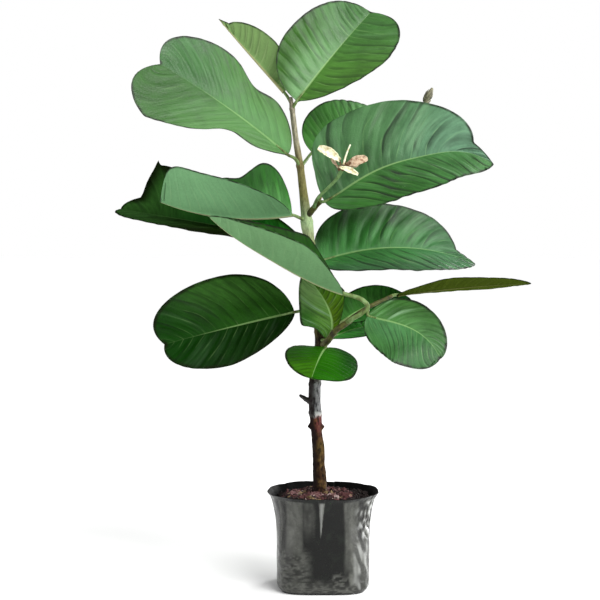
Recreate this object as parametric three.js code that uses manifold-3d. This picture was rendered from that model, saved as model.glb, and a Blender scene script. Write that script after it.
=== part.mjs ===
// A young guava tree in a round nursery grow bag, in millimetres, +Z up.
// The origin is the centre of the bag's flat underside; the tree leans to -X as it rises.
// Every leaf is a thin blade folded along its midrib, fused to its own leaf stalk.
import * as THREE from "three";
import { mergeVertices } from "three/addons/utils/BufferGeometryUtils.js";
import Module from "manifold-3d";

const wasm = await Module();
wasm.setup();

// ---------------------------------------------------------------- sizes
const GAP = 0.3; // clearance between neighbouring solids

const BAG = {
  height: 87,
  squareBelow: 0.7, // the bag is squared below this part of its height
  lip: 50.5, // radius at the flared lip
  neck: 46.5, // radius just under the lip
  belly: 42, // radius half way up
  foot: 38, // half width of the base
  wall: 1.0,
  round: 2, // superellipse power at the mouth
  square: 4.0, // superellipse power at the base
  segments: 40,
};

const SOIL = {
  edge: 79.5,
  crown: 85,
  crownRadius: 13,
  shoulder: [8, 1.2], // out from the crown and down from it
  rise: [6, 0.8], // in from the neck and up from the edge
};

// Trunk: centre line x at height z, with the radius there.
const TRUNK = {
  sides: 12,
  path: [
    { x: -2.6, z: 85.3, r: 8.0 },
    { x: -2.6, z: 89.5, r: 6.5 },
    { x: -2.8, z: 97, r: 5.7 },
    { x: -4.2, z: 125, r: 5.2 },
    { x: -5.6, z: 141, r: 4.7 },
    { x: -7.0, z: 156, r: 5.4 },
    { x: -7.6, z: 183, r: 5.0 },
    { x: -3.4, z: 212, r: 5.2 },
    { x: -1.8, z: 222, r: 5.4 },
    { x: -6.3, z: 260, r: 4.8 },
    { x: -11.0, z: 300, r: 4.5 },
    { x: -14.4, z: 330, r: 4.7 },
    { x: -18.0, z: 359, r: 3.5 },
    { x: -20.7, z: 381, r: 3.0 },
    { x: -24.3, z: 403, r: 2.4 },
    { x: -27.6, z: 430, r: 2.1 },
    { x: -29.0, z: 441, r: 1.5 },
  ],
};
const BROKEN_TWIG = { from: [-8, 0, 166.5], to: [-20.4, -0.6, 173.6], r0: 3.0, r1: 1.4 };
const KNOB_STRETCH = 1.15; // height of a knob over its width
const KNOBS = [
  { at: [-10, -1.5, 146], r: 3.4 },
  { at: [-0.6, 0.5, 145], r: 3.0 },
  { at: [-15.5, 0.5, 327], r: 4.6 },
];

// Side shoots, each one tapering limb cut clear of the trunk.
const SHOOTS = {
  side_shoot_upper: {
    path: [[-14, -1, 336], [-8.5, -6, 342.5], [-5, -9, 346.5], [-2.5, -11.5, 348]],
    r: [3.1, 2.7, 2.5, 2.1],
  },
  side_shoot_lower: {
    path: [
      [-1, -1, 219],
      [4, -12, 224],
      [11.5, -16, 234],
      [20, -18, 240],
      [30, -18, 248],
      [40, -16, 254.5],
      [52, -11, 260],
      [61.5, -7, 264],
    ],
    r: [3.3, 2.9, 2.6, 2.8, 2.2, 2.0, 1.8, 1.6],
  },
  bud_shoot: {
    path: [[-5, -8, 345], [-1, 3, 354], [30, 13, 384], [66, 21, 416], [93, 28, 438]],
    r: [1.7, 1.5, 1.4, 1.4, 1.6],
  },
};
const BUD = {
  base: [93, 28, 437],
  tip: [100, 28, 452],
  foot: 1.6, // radius where it leaves its shoot
  belly: 3.4, // greatest radius
  point: 0.7, // radius at the tip
  bellyAt: 0.45, // place of the greatest radius, as a part of the length
};

// Dried flower on its stalk.
const FLOWER = {
  stalk: [
    [-8, -7, 343.5],
    [-7.5, -13, 346],
    [-4.5, -18, 352],
    [3.5, -21, 360],
    [12, -23, 369],
    [16.5, -24, 377],
  ],
  stalkRadius: [1.8, 1.6, 1.5, 1.4, 1.6, 2.0],
  heart: { at: [16.5, -24, 378], r: [5.5, 4.5, 4.5] },
  lobes: [
    { to: [0.5, -26, 396.5], wide: 5.2, thick: 1.9 },
    { to: [38, -27, 387], wide: 4.6, thick: 1.9 },
    { to: [31.5, -30, 376.5], wide: 4.6, thick: 2.0 },
    { to: [23, -33, 397], wide: 1.5, thick: 1.3 },
  ],
};

// Leaves. base and tip are the ends of the midrib, face is the side that the upper surface looks to.
// arch lifts the midrib's middle along face and bow moves it sideways, both in mm, highest at peak;
// flat is the roundness of that arch (2 is a parabola, more is flatter on top).
// side(wide, at, foot, end, fold, more): half width in mm, its place along the midrib, the roundness
// of the outline towards the foot and towards the end (2 is an ellipse, 1 is straight), fold in degrees.
// A side may reach back past the stalk (lobe), past the tip (notch) or run out into a narrow point
// (drip), each as a part of the midrib's length; dripWide is that point's width as a part of the side's
// and dripBend its roundness (1 is straight). waist is the depth of a narrow place and horn the height of
// a sharp one, as a part of the width, each followed by its place and spread as parts of the length.
// curl bends a side further, in degrees.
const side = (wide, at, foot, end, fold, more = {}) => ({ wide, at, foot, end, fold, ...more });
const LEAVES = [
  {
    name: "leaf_01",
    base: [-23.4, -4, 438],
    tip: [44.3, 42, 521.5],
    face: [0.05, -0.8, 0.6],
    arch: 4,
    left: side(46, 0.42, 2.0, 2.3, 12),
    right: side(49, 0.62, 1.45, 2.5, 14, { notch: 0.03 }),
    stalk: [[-28, 0, 431], [-25.5, -2, 435]],
  },
  {
    name: "leaf_02",
    base: [-35.1, 16, 447],
    tip: [-95.2, 50, 516],
    face: [0.75, 0.55, 0.3],
    arch: -2,
    bow: -2,
    left: side(25, 0.4, 1.8, 1.8, 40, { drip: 0.1 }),
    right: side(23, 0.42, 1.8, 1.8, 60, { drip: 0.12 }),
    stalk: [[-28.4, 1, 436], [-31, 8, 441]],
  },
  {
    name: "leaf_03",
    base: [-31.4, -6, 390],
    tip: [-143.1, -30, 468.6],
    face: [-0.1, -0.8, 0.6],
    arch: 6,
    left: side(57, 0.9, 1.15, 2.2, 6, { notch: 0.1, waist: [0.4, 0.4, 0.16] }),
    right: side(46, 0.68, 2.0, 2.6, 6, { notch: 0.06, waist: [0.24, 0.42, 0.13] }),
    stalk: [[-20.6, -1, 380], [-25.5, -4, 387]],
  },
  {
    name: "leaf_04",
    base: [1, -14, 348.5],
    tip: [148.8, -36, 380.9],
    face: [-0.05, -0.88, 0.45],
    arch: 6,
    bow: -20,
    peak: 0.6,
    flat: 3,
    left: side(59, 0.26, 2.0, 2.2, 16, { drip: 0.11 }),
    right: side(38, 0.38, 1.7, 2.35, 8),
    stalk: [[-3.5, -11, 348.2], [-1.5, -12.5, 348.4]],
  },
  {
    name: "leaf_05",
    base: [-9.4, 24, 393],
    tip: [60, 84, 427],
    face: [-0.1, -0.8, 0.6],
    arch: 8,
    left: side(38, 0.47, 2.15, 1.9, 8),
    right: side(39, 0.49, 1.9, 1.8, 8),
    stalk: [[-20.2, 1, 379], [-15, 12, 386]],
  },
  {
    name: "leaf_06",
    base: [-4.5, 8, 294],
    tip: [142.9, 60, 289.9],
    face: [0, -0.7, 0.7],
    arch: 14,
    bow: -6,
    left: side(45, 0.36, 2.3, 2.2, 20, { drip: 0.13 }),
    right: side(35, 0.55, 2.15, 1.5, 10),
    stalk: [[-10.4, 1, 290], [-7, 5, 292.5]],
  },
  {
    name: "leaf_07",
    base: [-27.8, -8, 336.5],
    tip: [-149.8, 40, 348],
    face: [0, -0.1, 1],
    arch: -8,
    twist: -30,
    left: side(42, 0.55, 2.3, 5.5, 50),
    right: side(55, 0.3, 2.0, 1.5, 70, { waist: [0.17, 0.48, 0.12] }),
    stalk: [[-14.3, -1, 331], [-21, -5, 334]],
  },
  {
    name: "leaf_08",
    base: [17.3, -26, 267.6],
    tip: [-99.7, -50, 336],
    face: [0.5, -0.35, 0.8],
    arch: -6,
    flat: 3,
    left: side(54, 0.42, 1.4, 1.6, 50),
    right: side(37, 0.36, 1.2, 1.3, 45),
    stalk: [[21, -18.4, 241], [26, -24, 245], [34, -28, 250], [39, -29, 256], [34, -28, 262]],
    stalkRadius: 2.6,
  },
  {
    name: "leaf_09",
    base: [66, -5, 265],
    tip: [180.8, -45, 277.7],
    face: [0, 0.25, 1],
    arch: 2,
    left: side(30, 0.5, 1.3, 1.8, 4),
    right: side(30, 0.5, 1.3, 1.8, 4),
    stalk: [[60, -7.6, 263.3], [63, -6, 264.6]],
  },
  {
    name: "leaf_10",
    base: [39.6, -19, 247.5],
    tip: [101.8, -48, 211.5],
    face: [0, -0.8, 0.6],
    arch: 6,
    bow: -8,
    peak: 0.6,
    left: side(26, 0.42, 2.0, 1.7, 10),
    right: side(43, 0.65, 2.0, 2.2, 10, { notch: 0.07 }),
    stalk: [[39.5, -16.2, 254], [39.6, -18, 250.5]],
  },
  {
    name: "leaf_11",
    base: [7.4, 7, 225],
    tip: [65, 50, 232.5],
    face: [0, -0.35, 0.9],
    arch: 5,
    left: side(22, 0.5, 2.0, 1.8, 10),
    right: side(28, 0.5, 2.0, 1.8, 10),
    stalk: [[-2, 1, 219], [4, 5, 223]],
  },
  {
    name: "leaf_12",
    base: [16, 8, 239],
    tip: [79, 70, 259.5],
    face: [0, -0.7, 0.7],
    arch: 8,
    left: side(21, 0.42, 2.4, 1.8, 10),
    right: side(24, 0.5, 1.6, 1.8, 10),
    stalk: [[-3, 1, 231], [7, 6, 236]],
  },
  {
    name: "leaf_13",
    base: [-18.9, 10, 313.5],
    tip: [-191, 90, 341],
    face: [0, -0.1, 1],
    arch: 0,
    left: side(45, 0.5, 2.0, 2.4, 0),
    right: side(48, 0.81, 1.35, 2.6, 72, {
      drip: 0.1,
      dripWide: 0.3,
      dripBend: 0.5,
      horn: [0.16, 0.857, 0.03],
    }),
    stalk: [[-12.6, 1, 310], [-15.5, 6, 312.5]],
  },
  {
    name: "leaf_14",
    base: [-25.5, -4, 249.4],
    tip: [-139, -50, 224.4],
    face: [-0.1, -0.9, 0.35],
    arch: 2,
    left: side(36, 0.61, 1.45, 2.15, 6, { notch: 0.035 }),
    right: side(48, 0.47, 2.1, 2.3, 6, { notch: 0.065 }),
    stalk: [[-5.3, 0, 249], [-16, -2.5, 250.5]],
  },
  {
    name: "leaf_15",
    base: [2.6, -14, 218.4],
    tip: [-10.8, -80, 197.8],
    face: [0, -0.4, 0.9],
    arch: 4,
    left: side(35, 0.55, 2.2, 2.6, -3, { curl: -18, lobe: 0.2 }),
    right: side(31, 0.42, 2.3, 1.8, 2, { lobe: 0.06 }),
    stalk: [[-2, -1, 213], [0.5, -8, 216.5]],
  },
  {
    name: "leaf_16",
    base: [3, -10.5, 225.5],
    tip: [-18, -13, 285],
    face: [-0.1, -0.97, 0.1],
    arch: 1,
    bow: 11,
    peak: 0.36,
    left: side(28, 0.36, 2.6, 1.6, 12),
    right: side(20, 0.52, 0.95, 1.25, -2),
    stalk: [[-2.4, -1, 224], [0.2, -7, 224.5]],
  },
];
const LEAF = {
  rows: 14,
  columns: 3, // on each side of the midrib
  lead: 0.16, // how far the side veins run forward, as a part of the length
  veinCurve: 1.5, // how late they turn forward
  lobeRound: 6, // how fast a lobe past the stalk dies away along the midrib
  dripWidth: 0.16, // usual width of a drawn-out tip, as a part of the side's
  steepest: 0.03, // the arch's slope is taken no nearer to the base than this
  thick: 1.5,
  thickPerLength: 1 / 92,
  stalkRadius: 1.9,
  stalkIntoBlade: 0.1, // where the stalk ends along the midrib
  stalkAtBlade: 0.85, // stalk radius at the blade's base and at that end, as parts of its own
  stalkEnd: 0.45,
};

const COLOURS = {
  bag: 0x26282a,
  soil: 0x5f3826,
  bark: 0x5d5348,
  shoot: 0x6f7240,
  upper: 0x2f6b2c,
  flower: 0xcdb79a,
  bud: 0x77704a,
};

// ---------------------------------------------------------------- solids
const V = (p) => new THREE.Vector3(...p);

function solidOf(geometry) {
  const g = geometry.clone();
  for (const name of Object.keys(g.attributes)) if (name !== "position") g.deleteAttribute(name);
  const merged = mergeVertices(g, 1e-4);
  const index = merged.index.array;
  const kept = [];
  for (let i = 0; i < index.length; i += 3) {
    const [a, b, c] = [index[i], index[i + 1], index[i + 2]];
    if (a !== b && b !== c && a !== c) kept.push(a, b, c);
  }
  const mesh = new wasm.Mesh({
    numProp: 3,
    vertProperties: merged.attributes.position.array,
    triVerts: new Uint32Array(kept),
  });
  return new wasm.Manifold(mesh);
}

function geometryOf(solid) {
  const mesh = solid.getMesh();
  const g = new THREE.BufferGeometry();
  g.setAttribute("position", new THREE.BufferAttribute(mesh.vertProperties.slice(), 3));
  g.setIndex(new THREE.BufferAttribute(mesh.triVerts.slice(), 1));
  g.computeVertexNormals();
  return g;
}

// The biggest body of a solid, without loose scraps.
function biggest(solid) {
  return solid.decompose().reduce((a, b) => (a.volume() >= b.volume() ? a : b));
}

// A limb: a cylinder whose rings follow a smooth curve through the points, radius by radius.
function limb(points, radii, sides = 8, perSpan = 3, grow = 0) {
  const curve = new THREE.CatmullRomCurve3(points.map(V), false, "centripetal");
  const rings = Math.max(2, (points.length - 1) * perSpan);
  const g = new THREE.CylinderGeometry(1, 1, 1, sides, rings);
  const position = g.attributes.position;
  const across = new THREE.Vector3();
  for (let i = 0; i < position.count; i++) {
    const u = Math.min(1, Math.max(0, position.getY(i) + 0.5));
    const along = u * (radii.length - 1);
    const k = Math.min(radii.length - 2, Math.floor(along));
    const radius = radii[k] + (radii[k + 1] - radii[k]) * (along - k) + grow;
    const tangent = curve.getTangent(u);
    const a = across.set(0, 1, 0).addScaledVector(tangent, -tangent.y);
    if (a.length() < 0.3) a.set(1, 0, 0).addScaledVector(tangent, -tangent.x);
    a.normalize();
    const b = new THREE.Vector3().crossVectors(a, tangent);
    const p = curve.getPoint(u).addScaledVector(tangent, u < 1e-6 ? -grow : u > 1 - 1e-6 ? grow : 0);
    p.addScaledVector(a, position.getX(i) * radius).addScaledVector(b, position.getZ(i) * radius);
    position.setXYZ(i, p.x, p.y, p.z);
  }
  return solidOf(g);
}

function ellipsoid(at, r, sides = 10) {
  const g = new THREE.SphereGeometry(1, sides, Math.round(sides * 0.7));
  g.scale(...r);
  g.translate(...at);
  return solidOf(g);
}

// ---------------------------------------------------------------- the bag and its soil
const superellipse = (angle, power) =>
  (Math.abs(Math.cos(angle)) ** power + Math.abs(Math.sin(angle)) ** power) ** (-1 / power);

// Turns a profile of [radius, z] about Z, squaring it towards the base.
function bagShape(profile) {
  const g = new THREE.LatheGeometry(
    profile.map(([r, z]) => new THREE.Vector2(r, z)),
    BAG.segments,
  );
  g.rotateX(Math.PI / 2);
  const position = g.attributes.position;
  for (let i = 0; i < position.count; i++) {
    const [x, y, z] = [position.getX(i), position.getY(i), position.getZ(i)];
    const t = Math.min(1, z / (BAG.height * BAG.squareBelow));
    const power = BAG.square + (BAG.round - BAG.square) * t;
    const k = superellipse(Math.atan2(y, x), power);
    position.setXYZ(i, x * k, y * k, z);
  }
  return solidOf(g);
}

const outerWall = [
  [BAG.foot, 0],
  [BAG.foot + 2.5, 4],
  [BAG.belly - 0.5, 22],
  [BAG.belly, BAG.height * 0.5],
  [BAG.belly + 1.5, BAG.height * 0.72],
  [BAG.neck, BAG.height * 0.9],
  [BAG.neck + 1.6, BAG.height * 0.96],
  [BAG.lip, BAG.height],
];
const inward = (wall, d) => wall.map(([r, z]) => [r - d, z]);
const innerWall = inward(outerWall, BAG.wall);
innerWall[0][1] = BAG.wall;

const growBag = bagShape([
  [0, 0],
  ...outerWall,
  ...innerWall.toReversed(),
  [0, BAG.wall],
]);

// The soil fills the bag to a little under the lip and rises slightly to the trunk.
const soilWall = inward(outerWall, BAG.wall + 2 * GAP).filter(([, z]) => z < SOIL.edge - 1);
soilWall[0][1] = BAG.wall + GAP;
const soil = bagShape([
  [0, BAG.wall + GAP],
  ...soilWall,
  [BAG.neck - BAG.wall - 2 * GAP, BAG.height * 0.9],
  [BAG.neck - SOIL.rise[0], SOIL.edge + SOIL.rise[1]],
  [SOIL.crownRadius + SOIL.shoulder[0], SOIL.crown - SOIL.shoulder[1]],
  [SOIL.crownRadius, SOIL.crown],
  [0, SOIL.crown],
]);

// ---------------------------------------------------------------- trunk and shoots
function trunkSolid(grow = 0) {
  const path = TRUNK.path.map(({ x, z }) => [x, 0, z]);
  const radii = TRUNK.path.map(({ r }) => r);
  let solid = limb(path, radii, TRUNK.sides, 2, grow);
  const { from, to, r0, r1 } = BROKEN_TWIG;
  solid = solid.add(limb([from, to], [r0 + grow, r1 + grow], 8, 2));
  for (const { at, r } of KNOBS) {
    solid = solid.add(ellipsoid(at, [r + grow, r + grow, r * KNOB_STRETCH + grow], 8));
  }
  return solid;
}

const shootSolid = (name, grow = 0) => limb(SHOOTS[name].path, SHOOTS[name].r, 8, 2, grow);

// Everything that meets a limb is cut back to a GAP around it.
const trunkRoom = trunkSolid(GAP);
const limbRoom = ["side_shoot_upper", "side_shoot_lower"].reduce(
  (room, name) => room.add(shootSolid(name, GAP)),
  trunkRoom,
);

// ---------------------------------------------------------------- leaves
// Half width of one side at x along the midrib, as a part of its greatest half width.
function sideWidth(x, half) {
  const { at, foot, end, drip = 0, dripWide = LEAF.dripWidth, dripBend = 1 } = half;
  const last = 1 - drip;
  const z = Math.min(Math.max(x, 0), last);
  const far = z < at ? (at - z) / at : (z - at) / (last - at);
  const power = z < at ? foot : end;
  let w = Math.max(0, 1 - far ** power) ** (1 / power);
  if (drip > 0 && x > 0.5) {
    w = Math.max(w, dripWide * Math.min(1, Math.max(0, (1 - x) / drip)) ** dripBend);
  }
  const [depth, place, spread] = half.waist ?? [0, 0, 1];
  const [high, top, reach] = half.horn ?? [0, 0, 1];
  w *= 1 - depth * Math.exp(-(((x - place) / spread) ** 2));
  return w + high * Math.max(0, 1 - Math.abs(x - top) / reach) ** 2;
}

// The middle surface of a blade at s along the midrib (0 to 1) and t across (-1 to 1).
function bladePoint(leaf, s, t) {
  const half = t < 0 ? leaf.left : leaf.right;
  const sign = t < 0 ? -1 : 1;
  const out = Math.abs(t);
  const base = V(leaf.base);
  const chord = V(leaf.tip).sub(base);
  const along = chord.clone().normalize();
  const up = V(leaf.face);
  up.addScaledVector(along, -up.dot(along)).normalize();
  const across = new THREE.Vector3().crossVectors(along, up);

  const edge = s + LEAF.lead * 4 * s * (1 - s);
  const width = sideWidth(edge, half);
  const past = edge > half.at ? (half.notch ?? 0) * 4 * width * (1 - width) : 0;
  const back = (half.lobe ?? 0) * width * (1 - s) ** LEAF.lobeRound;
  const x = s + (edge - s) * out ** LEAF.veinCurve + (past - back) * out;
  const y = half.wide * width * out;

  const peak = Math.log(0.5) / Math.log(leaf.peak ?? 0.5);
  const q = Math.max(x, 0) ** peak;
  const flat = leaf.flat ?? 2;
  const off = Math.abs(1 - 2 * q);
  const lift = 1 - off ** flat;
  const skew = peak * Math.max(x, LEAF.steepest) ** (peak - 1);
  const slope = 2 * flat * off ** (flat - 1) * Math.sign(1 - 2 * q) * skew;
  const bend = up.clone().multiplyScalar(leaf.arch ?? 0).addScaledVector(across, leaf.bow ?? 0);
  const middle = base.addScaledVector(chord, x).addScaledVector(bend, lift);
  const T = chord.addScaledVector(bend, slope).normalize();
  const N = up.addScaledVector(T, -up.dot(T)).normalize();
  const S = new THREE.Vector3().crossVectors(T, N);

  const turn = THREE.MathUtils.degToRad((leaf.twist ?? 0) * x);
  const S2 = S.clone().multiplyScalar(Math.cos(turn)).addScaledVector(N, Math.sin(turn));
  const N2 = N.clone().multiplyScalar(Math.cos(turn)).addScaledVector(S, -Math.sin(turn));
  const fold = THREE.MathUtils.degToRad(half.fold);
  const curl = THREE.MathUtils.degToRad(half.curl ?? 0) / half.wide;
  let [cx, cy] = [y * Math.cos(fold), y * Math.sin(fold)];
  if (Math.abs(curl) > 1e-6) {
    cx = (Math.sin(fold + curl * y) - Math.sin(fold)) / curl;
    cy = (Math.cos(fold) - Math.cos(fold + curl * y)) / curl;
  }
  return middle.addScaledVector(S2, sign * cx).addScaledVector(N2, cy);
}

// A closed blade: the middle surface thickened both ways along its vertex normals.
function bladeSolid(leaf) {
  const plane = new THREE.PlaneGeometry(2, 1, 2 * LEAF.columns, LEAF.rows);
  const position = plane.attributes.position;
  for (let i = 0; i < position.count; i++) {
    const s = (1 - Math.cos(Math.PI * (position.getY(i) + 0.5))) / 2;
    const p = bladePoint(leaf, s, position.getX(i));
    position.setXYZ(i, p.x, p.y, p.z);
  }
  plane.deleteAttribute("uv");
  plane.deleteAttribute("normal");
  const middle = mergeVertices(plane, 1e-3);
  const index = middle.index.array;
  const faces = [];
  for (let i = 0; i < index.length; i += 3) {
    const f = [index[i], index[i + 1], index[i + 2]];
    if (new Set(f).size === 3) faces.push(f);
  }
  middle.setIndex(faces.flat());
  middle.computeVertexNormals();

  const count = middle.attributes.position.count;
  const length = V(leaf.tip).distanceTo(V(leaf.base));
  const half = Math.max(LEAF.thick, length * LEAF.thickPerLength) / 2;
  const points = [];
  for (const way of [1, -1]) {
    for (let i = 0; i < count; i++) {
      const p = new THREE.Vector3().fromBufferAttribute(middle.attributes.position, i);
      const n = new THREE.Vector3().fromBufferAttribute(middle.attributes.normal, i);
      points.push(...p.addScaledVector(n, way * half));
    }
  }
  const edges = new Set(faces.flatMap(([a, b, c]) => [`${a} ${b}`, `${b} ${c}`, `${c} ${a}`]));
  const skin = faces.flatMap(([a, b, c]) => [a, b, c, c + count, b + count, a + count]);
  for (const e of edges) {
    const [a, b] = e.split(" ").map(Number);
    if (!edges.has(`${b} ${a}`)) skin.push(a, a + count, b, b, a + count, b + count);
  }
  const g = new THREE.BufferGeometry();
  g.setAttribute("position", new THREE.Float32BufferAttribute(points, 3));
  g.setIndex(skin);
  return solidOf(g);
}

function leafSolid(leaf) {
  const intoBlade = bladePoint(leaf, LEAF.stalkIntoBlade, 0).toArray();
  const points = [...leaf.stalk, leaf.base, intoBlade];
  const r = leaf.stalkRadius ?? LEAF.stalkRadius;
  const radii = [...leaf.stalk.map(() => r), r * LEAF.stalkAtBlade, r * LEAF.stalkEnd];
  const stalk = limb(points, radii, 8, 2);
  return biggest(bladeSolid(leaf).add(stalk).subtract(limbRoom));
}

// ---------------------------------------------------------------- flower and bud
function flowerSolid() {
  const { stalk, stalkRadius, heart, lobes } = FLOWER;
  let solid = limb(stalk, stalkRadius, 8, 2).add(ellipsoid(heart.at, heart.r));
  for (const { to, wide, thick } of lobes) {
    const from = V(heart.at);
    const way = V(to).sub(from);
    const g = new THREE.SphereGeometry(1, 8, 8);
    g.scale(way.length() / 2, thick, wide);
    const axis = way.clone().normalize();
    g.applyQuaternion(new THREE.Quaternion().setFromUnitVectors(new THREE.Vector3(1, 0, 0), axis));
    g.translate(...from.addScaledVector(way, 0.5));
    solid = solid.add(solidOf(g));
  }
  return biggest(solid.subtract(limbRoom));
}

function budShootSolid() {
  const { base, tip, foot, belly, point, bellyAt } = BUD;
  const middle = V(base).lerp(V(tip), bellyAt);
  const bud = limb([base, middle.toArray(), tip], [foot, belly, point], 8, 3);
  return biggest(shootSolid("bud_shoot").add(bud).subtract(limbRoom));
}

// ---------------------------------------------------------------- the tree
const materials = {
  bag: new THREE.MeshStandardMaterial({ color: COLOURS.bag, roughness: 0.25, metalness: 0 }),
  soil: new THREE.MeshStandardMaterial({ color: COLOURS.soil, roughness: 1, metalness: 0 }),
  bark: new THREE.MeshStandardMaterial({ color: COLOURS.bark, roughness: 0.85, metalness: 0 }),
  shoot: new THREE.MeshStandardMaterial({ color: COLOURS.shoot, roughness: 0.7, metalness: 0 }),
  leaf: new THREE.MeshStandardMaterial({ color: COLOURS.upper, roughness: 0.5, metalness: 0 }),
  flower: new THREE.MeshStandardMaterial({ color: COLOURS.flower, roughness: 0.9, metalness: 0 }),
  bud: new THREE.MeshStandardMaterial({ color: COLOURS.bud, roughness: 0.7, metalness: 0 }),
};

const tree = new THREE.Group();
function place(name, solid, material) {
  const mesh = new THREE.Mesh(geometryOf(solid), material.clone());
  mesh.name = name;
  tree.add(mesh);
}

place("grow_bag", growBag, materials.bag);
place("soil", soil, materials.soil);
place("trunk", trunkSolid(), materials.bark);
for (const name of ["side_shoot_upper", "side_shoot_lower"]) {
  place(name, biggest(shootSolid(name).subtract(trunkRoom)), materials.shoot);
}
place("bud_shoot", budShootSolid(), materials.bud);
place("flower", flowerSolid(), materials.flower);
for (const leaf of LEAVES) place(leaf.name, leafSolid(leaf), materials.leaf);

export default tree;
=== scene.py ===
"""Looks of a young guava tree in a nursery grow bag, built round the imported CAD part.

Lengths are in millimetres, in the part's own frame, until make_piece() turns them into metres.
"""
import math

import bmesh
import bpy
import numpy as np
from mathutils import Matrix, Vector, noise


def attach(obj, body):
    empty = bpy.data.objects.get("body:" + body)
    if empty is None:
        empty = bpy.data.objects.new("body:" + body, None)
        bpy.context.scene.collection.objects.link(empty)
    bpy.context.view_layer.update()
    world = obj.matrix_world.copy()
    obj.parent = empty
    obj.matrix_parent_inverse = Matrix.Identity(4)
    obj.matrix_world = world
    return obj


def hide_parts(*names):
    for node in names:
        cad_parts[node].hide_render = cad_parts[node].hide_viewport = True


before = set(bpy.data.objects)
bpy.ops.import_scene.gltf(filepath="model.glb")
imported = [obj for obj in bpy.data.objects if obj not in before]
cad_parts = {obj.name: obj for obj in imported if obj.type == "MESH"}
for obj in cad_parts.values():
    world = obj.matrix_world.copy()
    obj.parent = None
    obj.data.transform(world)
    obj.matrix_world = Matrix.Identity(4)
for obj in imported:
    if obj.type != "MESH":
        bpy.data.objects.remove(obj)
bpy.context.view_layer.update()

MM = 0.001

# ---------- sizes of the part
BAG = dict(height=87, lip=50.5, neck=46.5, belly=42, foot=38, wall=0.6, round=2.0, square=4.0)
SOIL = dict(edge=79.5, crown=85, crown_radius=13)

# Centre line x at height z, and the radius there.
TRUNK = [
    (-2.6, 85.3, 8.0), (-2.6, 89.5, 6.5), (-2.8, 97, 5.7), (-4.2, 125, 5.2), (-5.6, 141, 4.7),
    (-7.0, 156, 5.4), (-7.6, 183, 5.0), (-3.4, 212, 5.2), (-1.8, 222, 5.4), (-6.3, 260, 4.8),
    (-11.0, 300, 4.5), (-14.4, 330, 4.7), (-18.0, 359, 3.5), (-20.7, 381, 3.0), (-24.3, 403, 2.4),
    (-27.6, 430, 2.1), (-29.0, 441, 1.5),
]
BROKEN_TWIG = dict(
    points=[(-8, 0, 166.5), (-13.5, -0.3, 169.3), (-20.4, -0.6, 173.6)], radii=[3.3, 2.6, 1.3]
)
# Knobs on the stem: place, height above the bark and spread.
KNOBS = [((-11, -1.5, 146), 2.6, 2.4), ((-0.8, 0.5, 145), 2.6, 2.2), ((-15.5, -0.5, 327), 1.2, 6.0)]
GRAFT = (157.5, 184)  # height of the grey graft's lower and upper edge
LEAF_NODES = [217, 231, 250, 291, 311, 331, 380, 431]  # heights where leaf stalks leave the stem

SHOOTS = {
    "side_shoot_upper": dict(
        points=[(-14, -1, 336), (-8.5, -6, 342.5), (-5, -9, 346.5), (-2.5, -11.5, 348)],
        radii=[3.1, 2.7, 2.5, 2.1],
    ),
    "side_shoot_lower": dict(
        points=[(-1, -1, 219), (4, -12, 224), (11.5, -16, 234), (20, -18, 240), (30, -18, 248),
                (40, -16, 254.5), (52, -11, 260), (61.5, -7, 264)],
        radii=[3.3, 2.9, 2.6, 2.8, 2.2, 2.0, 1.8, 1.6],
    ),
    "bud_shoot": dict(
        points=[(-5, -8, 345), (-1, 3, 354), (30, 13, 384), (66, 21, 416), (93, 28, 438)],
        radii=[1.7, 1.5, 1.4, 1.4, 1.6],
    ),
}
BUD = dict(base=(93, 28, 437), tip=(100, 28, 452), radius=3.4)
BUD_SCALES = 6
FLOWER = dict(
    stalk=[(-8, -7, 343.5), (-7.5, -13, 346), (-4.5, -18, 352), (3.5, -21, 360), (12, -23, 369),
           (16.5, -24, 377)],
    radii=[1.8, 1.6, 1.5, 1.4, 1.6, 2.0],
    heart=(16.5, -24, 378),
)


def side(wide, at, foot, end, fold, **more):
    """One half of a blade: half width, its place, roundness to foot and end, fold in degrees.

    more can be curl, the degrees that it bends on to the margin; sweep, how far its side veins run
    forward beyond LEAD; notch and lobe, how far its margin bulges on beside the tip and back beside
    the foot; drip, drip_wide and drip_bend, the length, width and power of a drawn-out tip; waist,
    the depth, place and spread of a dent; and horn, the height, place and reach of a corner.
    """
    return dict(wide=wide, at=at, foot=foot, end=end, fold=fold, **more)


DARK = dict(gloss=0.0, vein_seen=0.15, rib_seen=0.2, painted_shine=0.02)  # looks of a leaf in the shade
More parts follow.
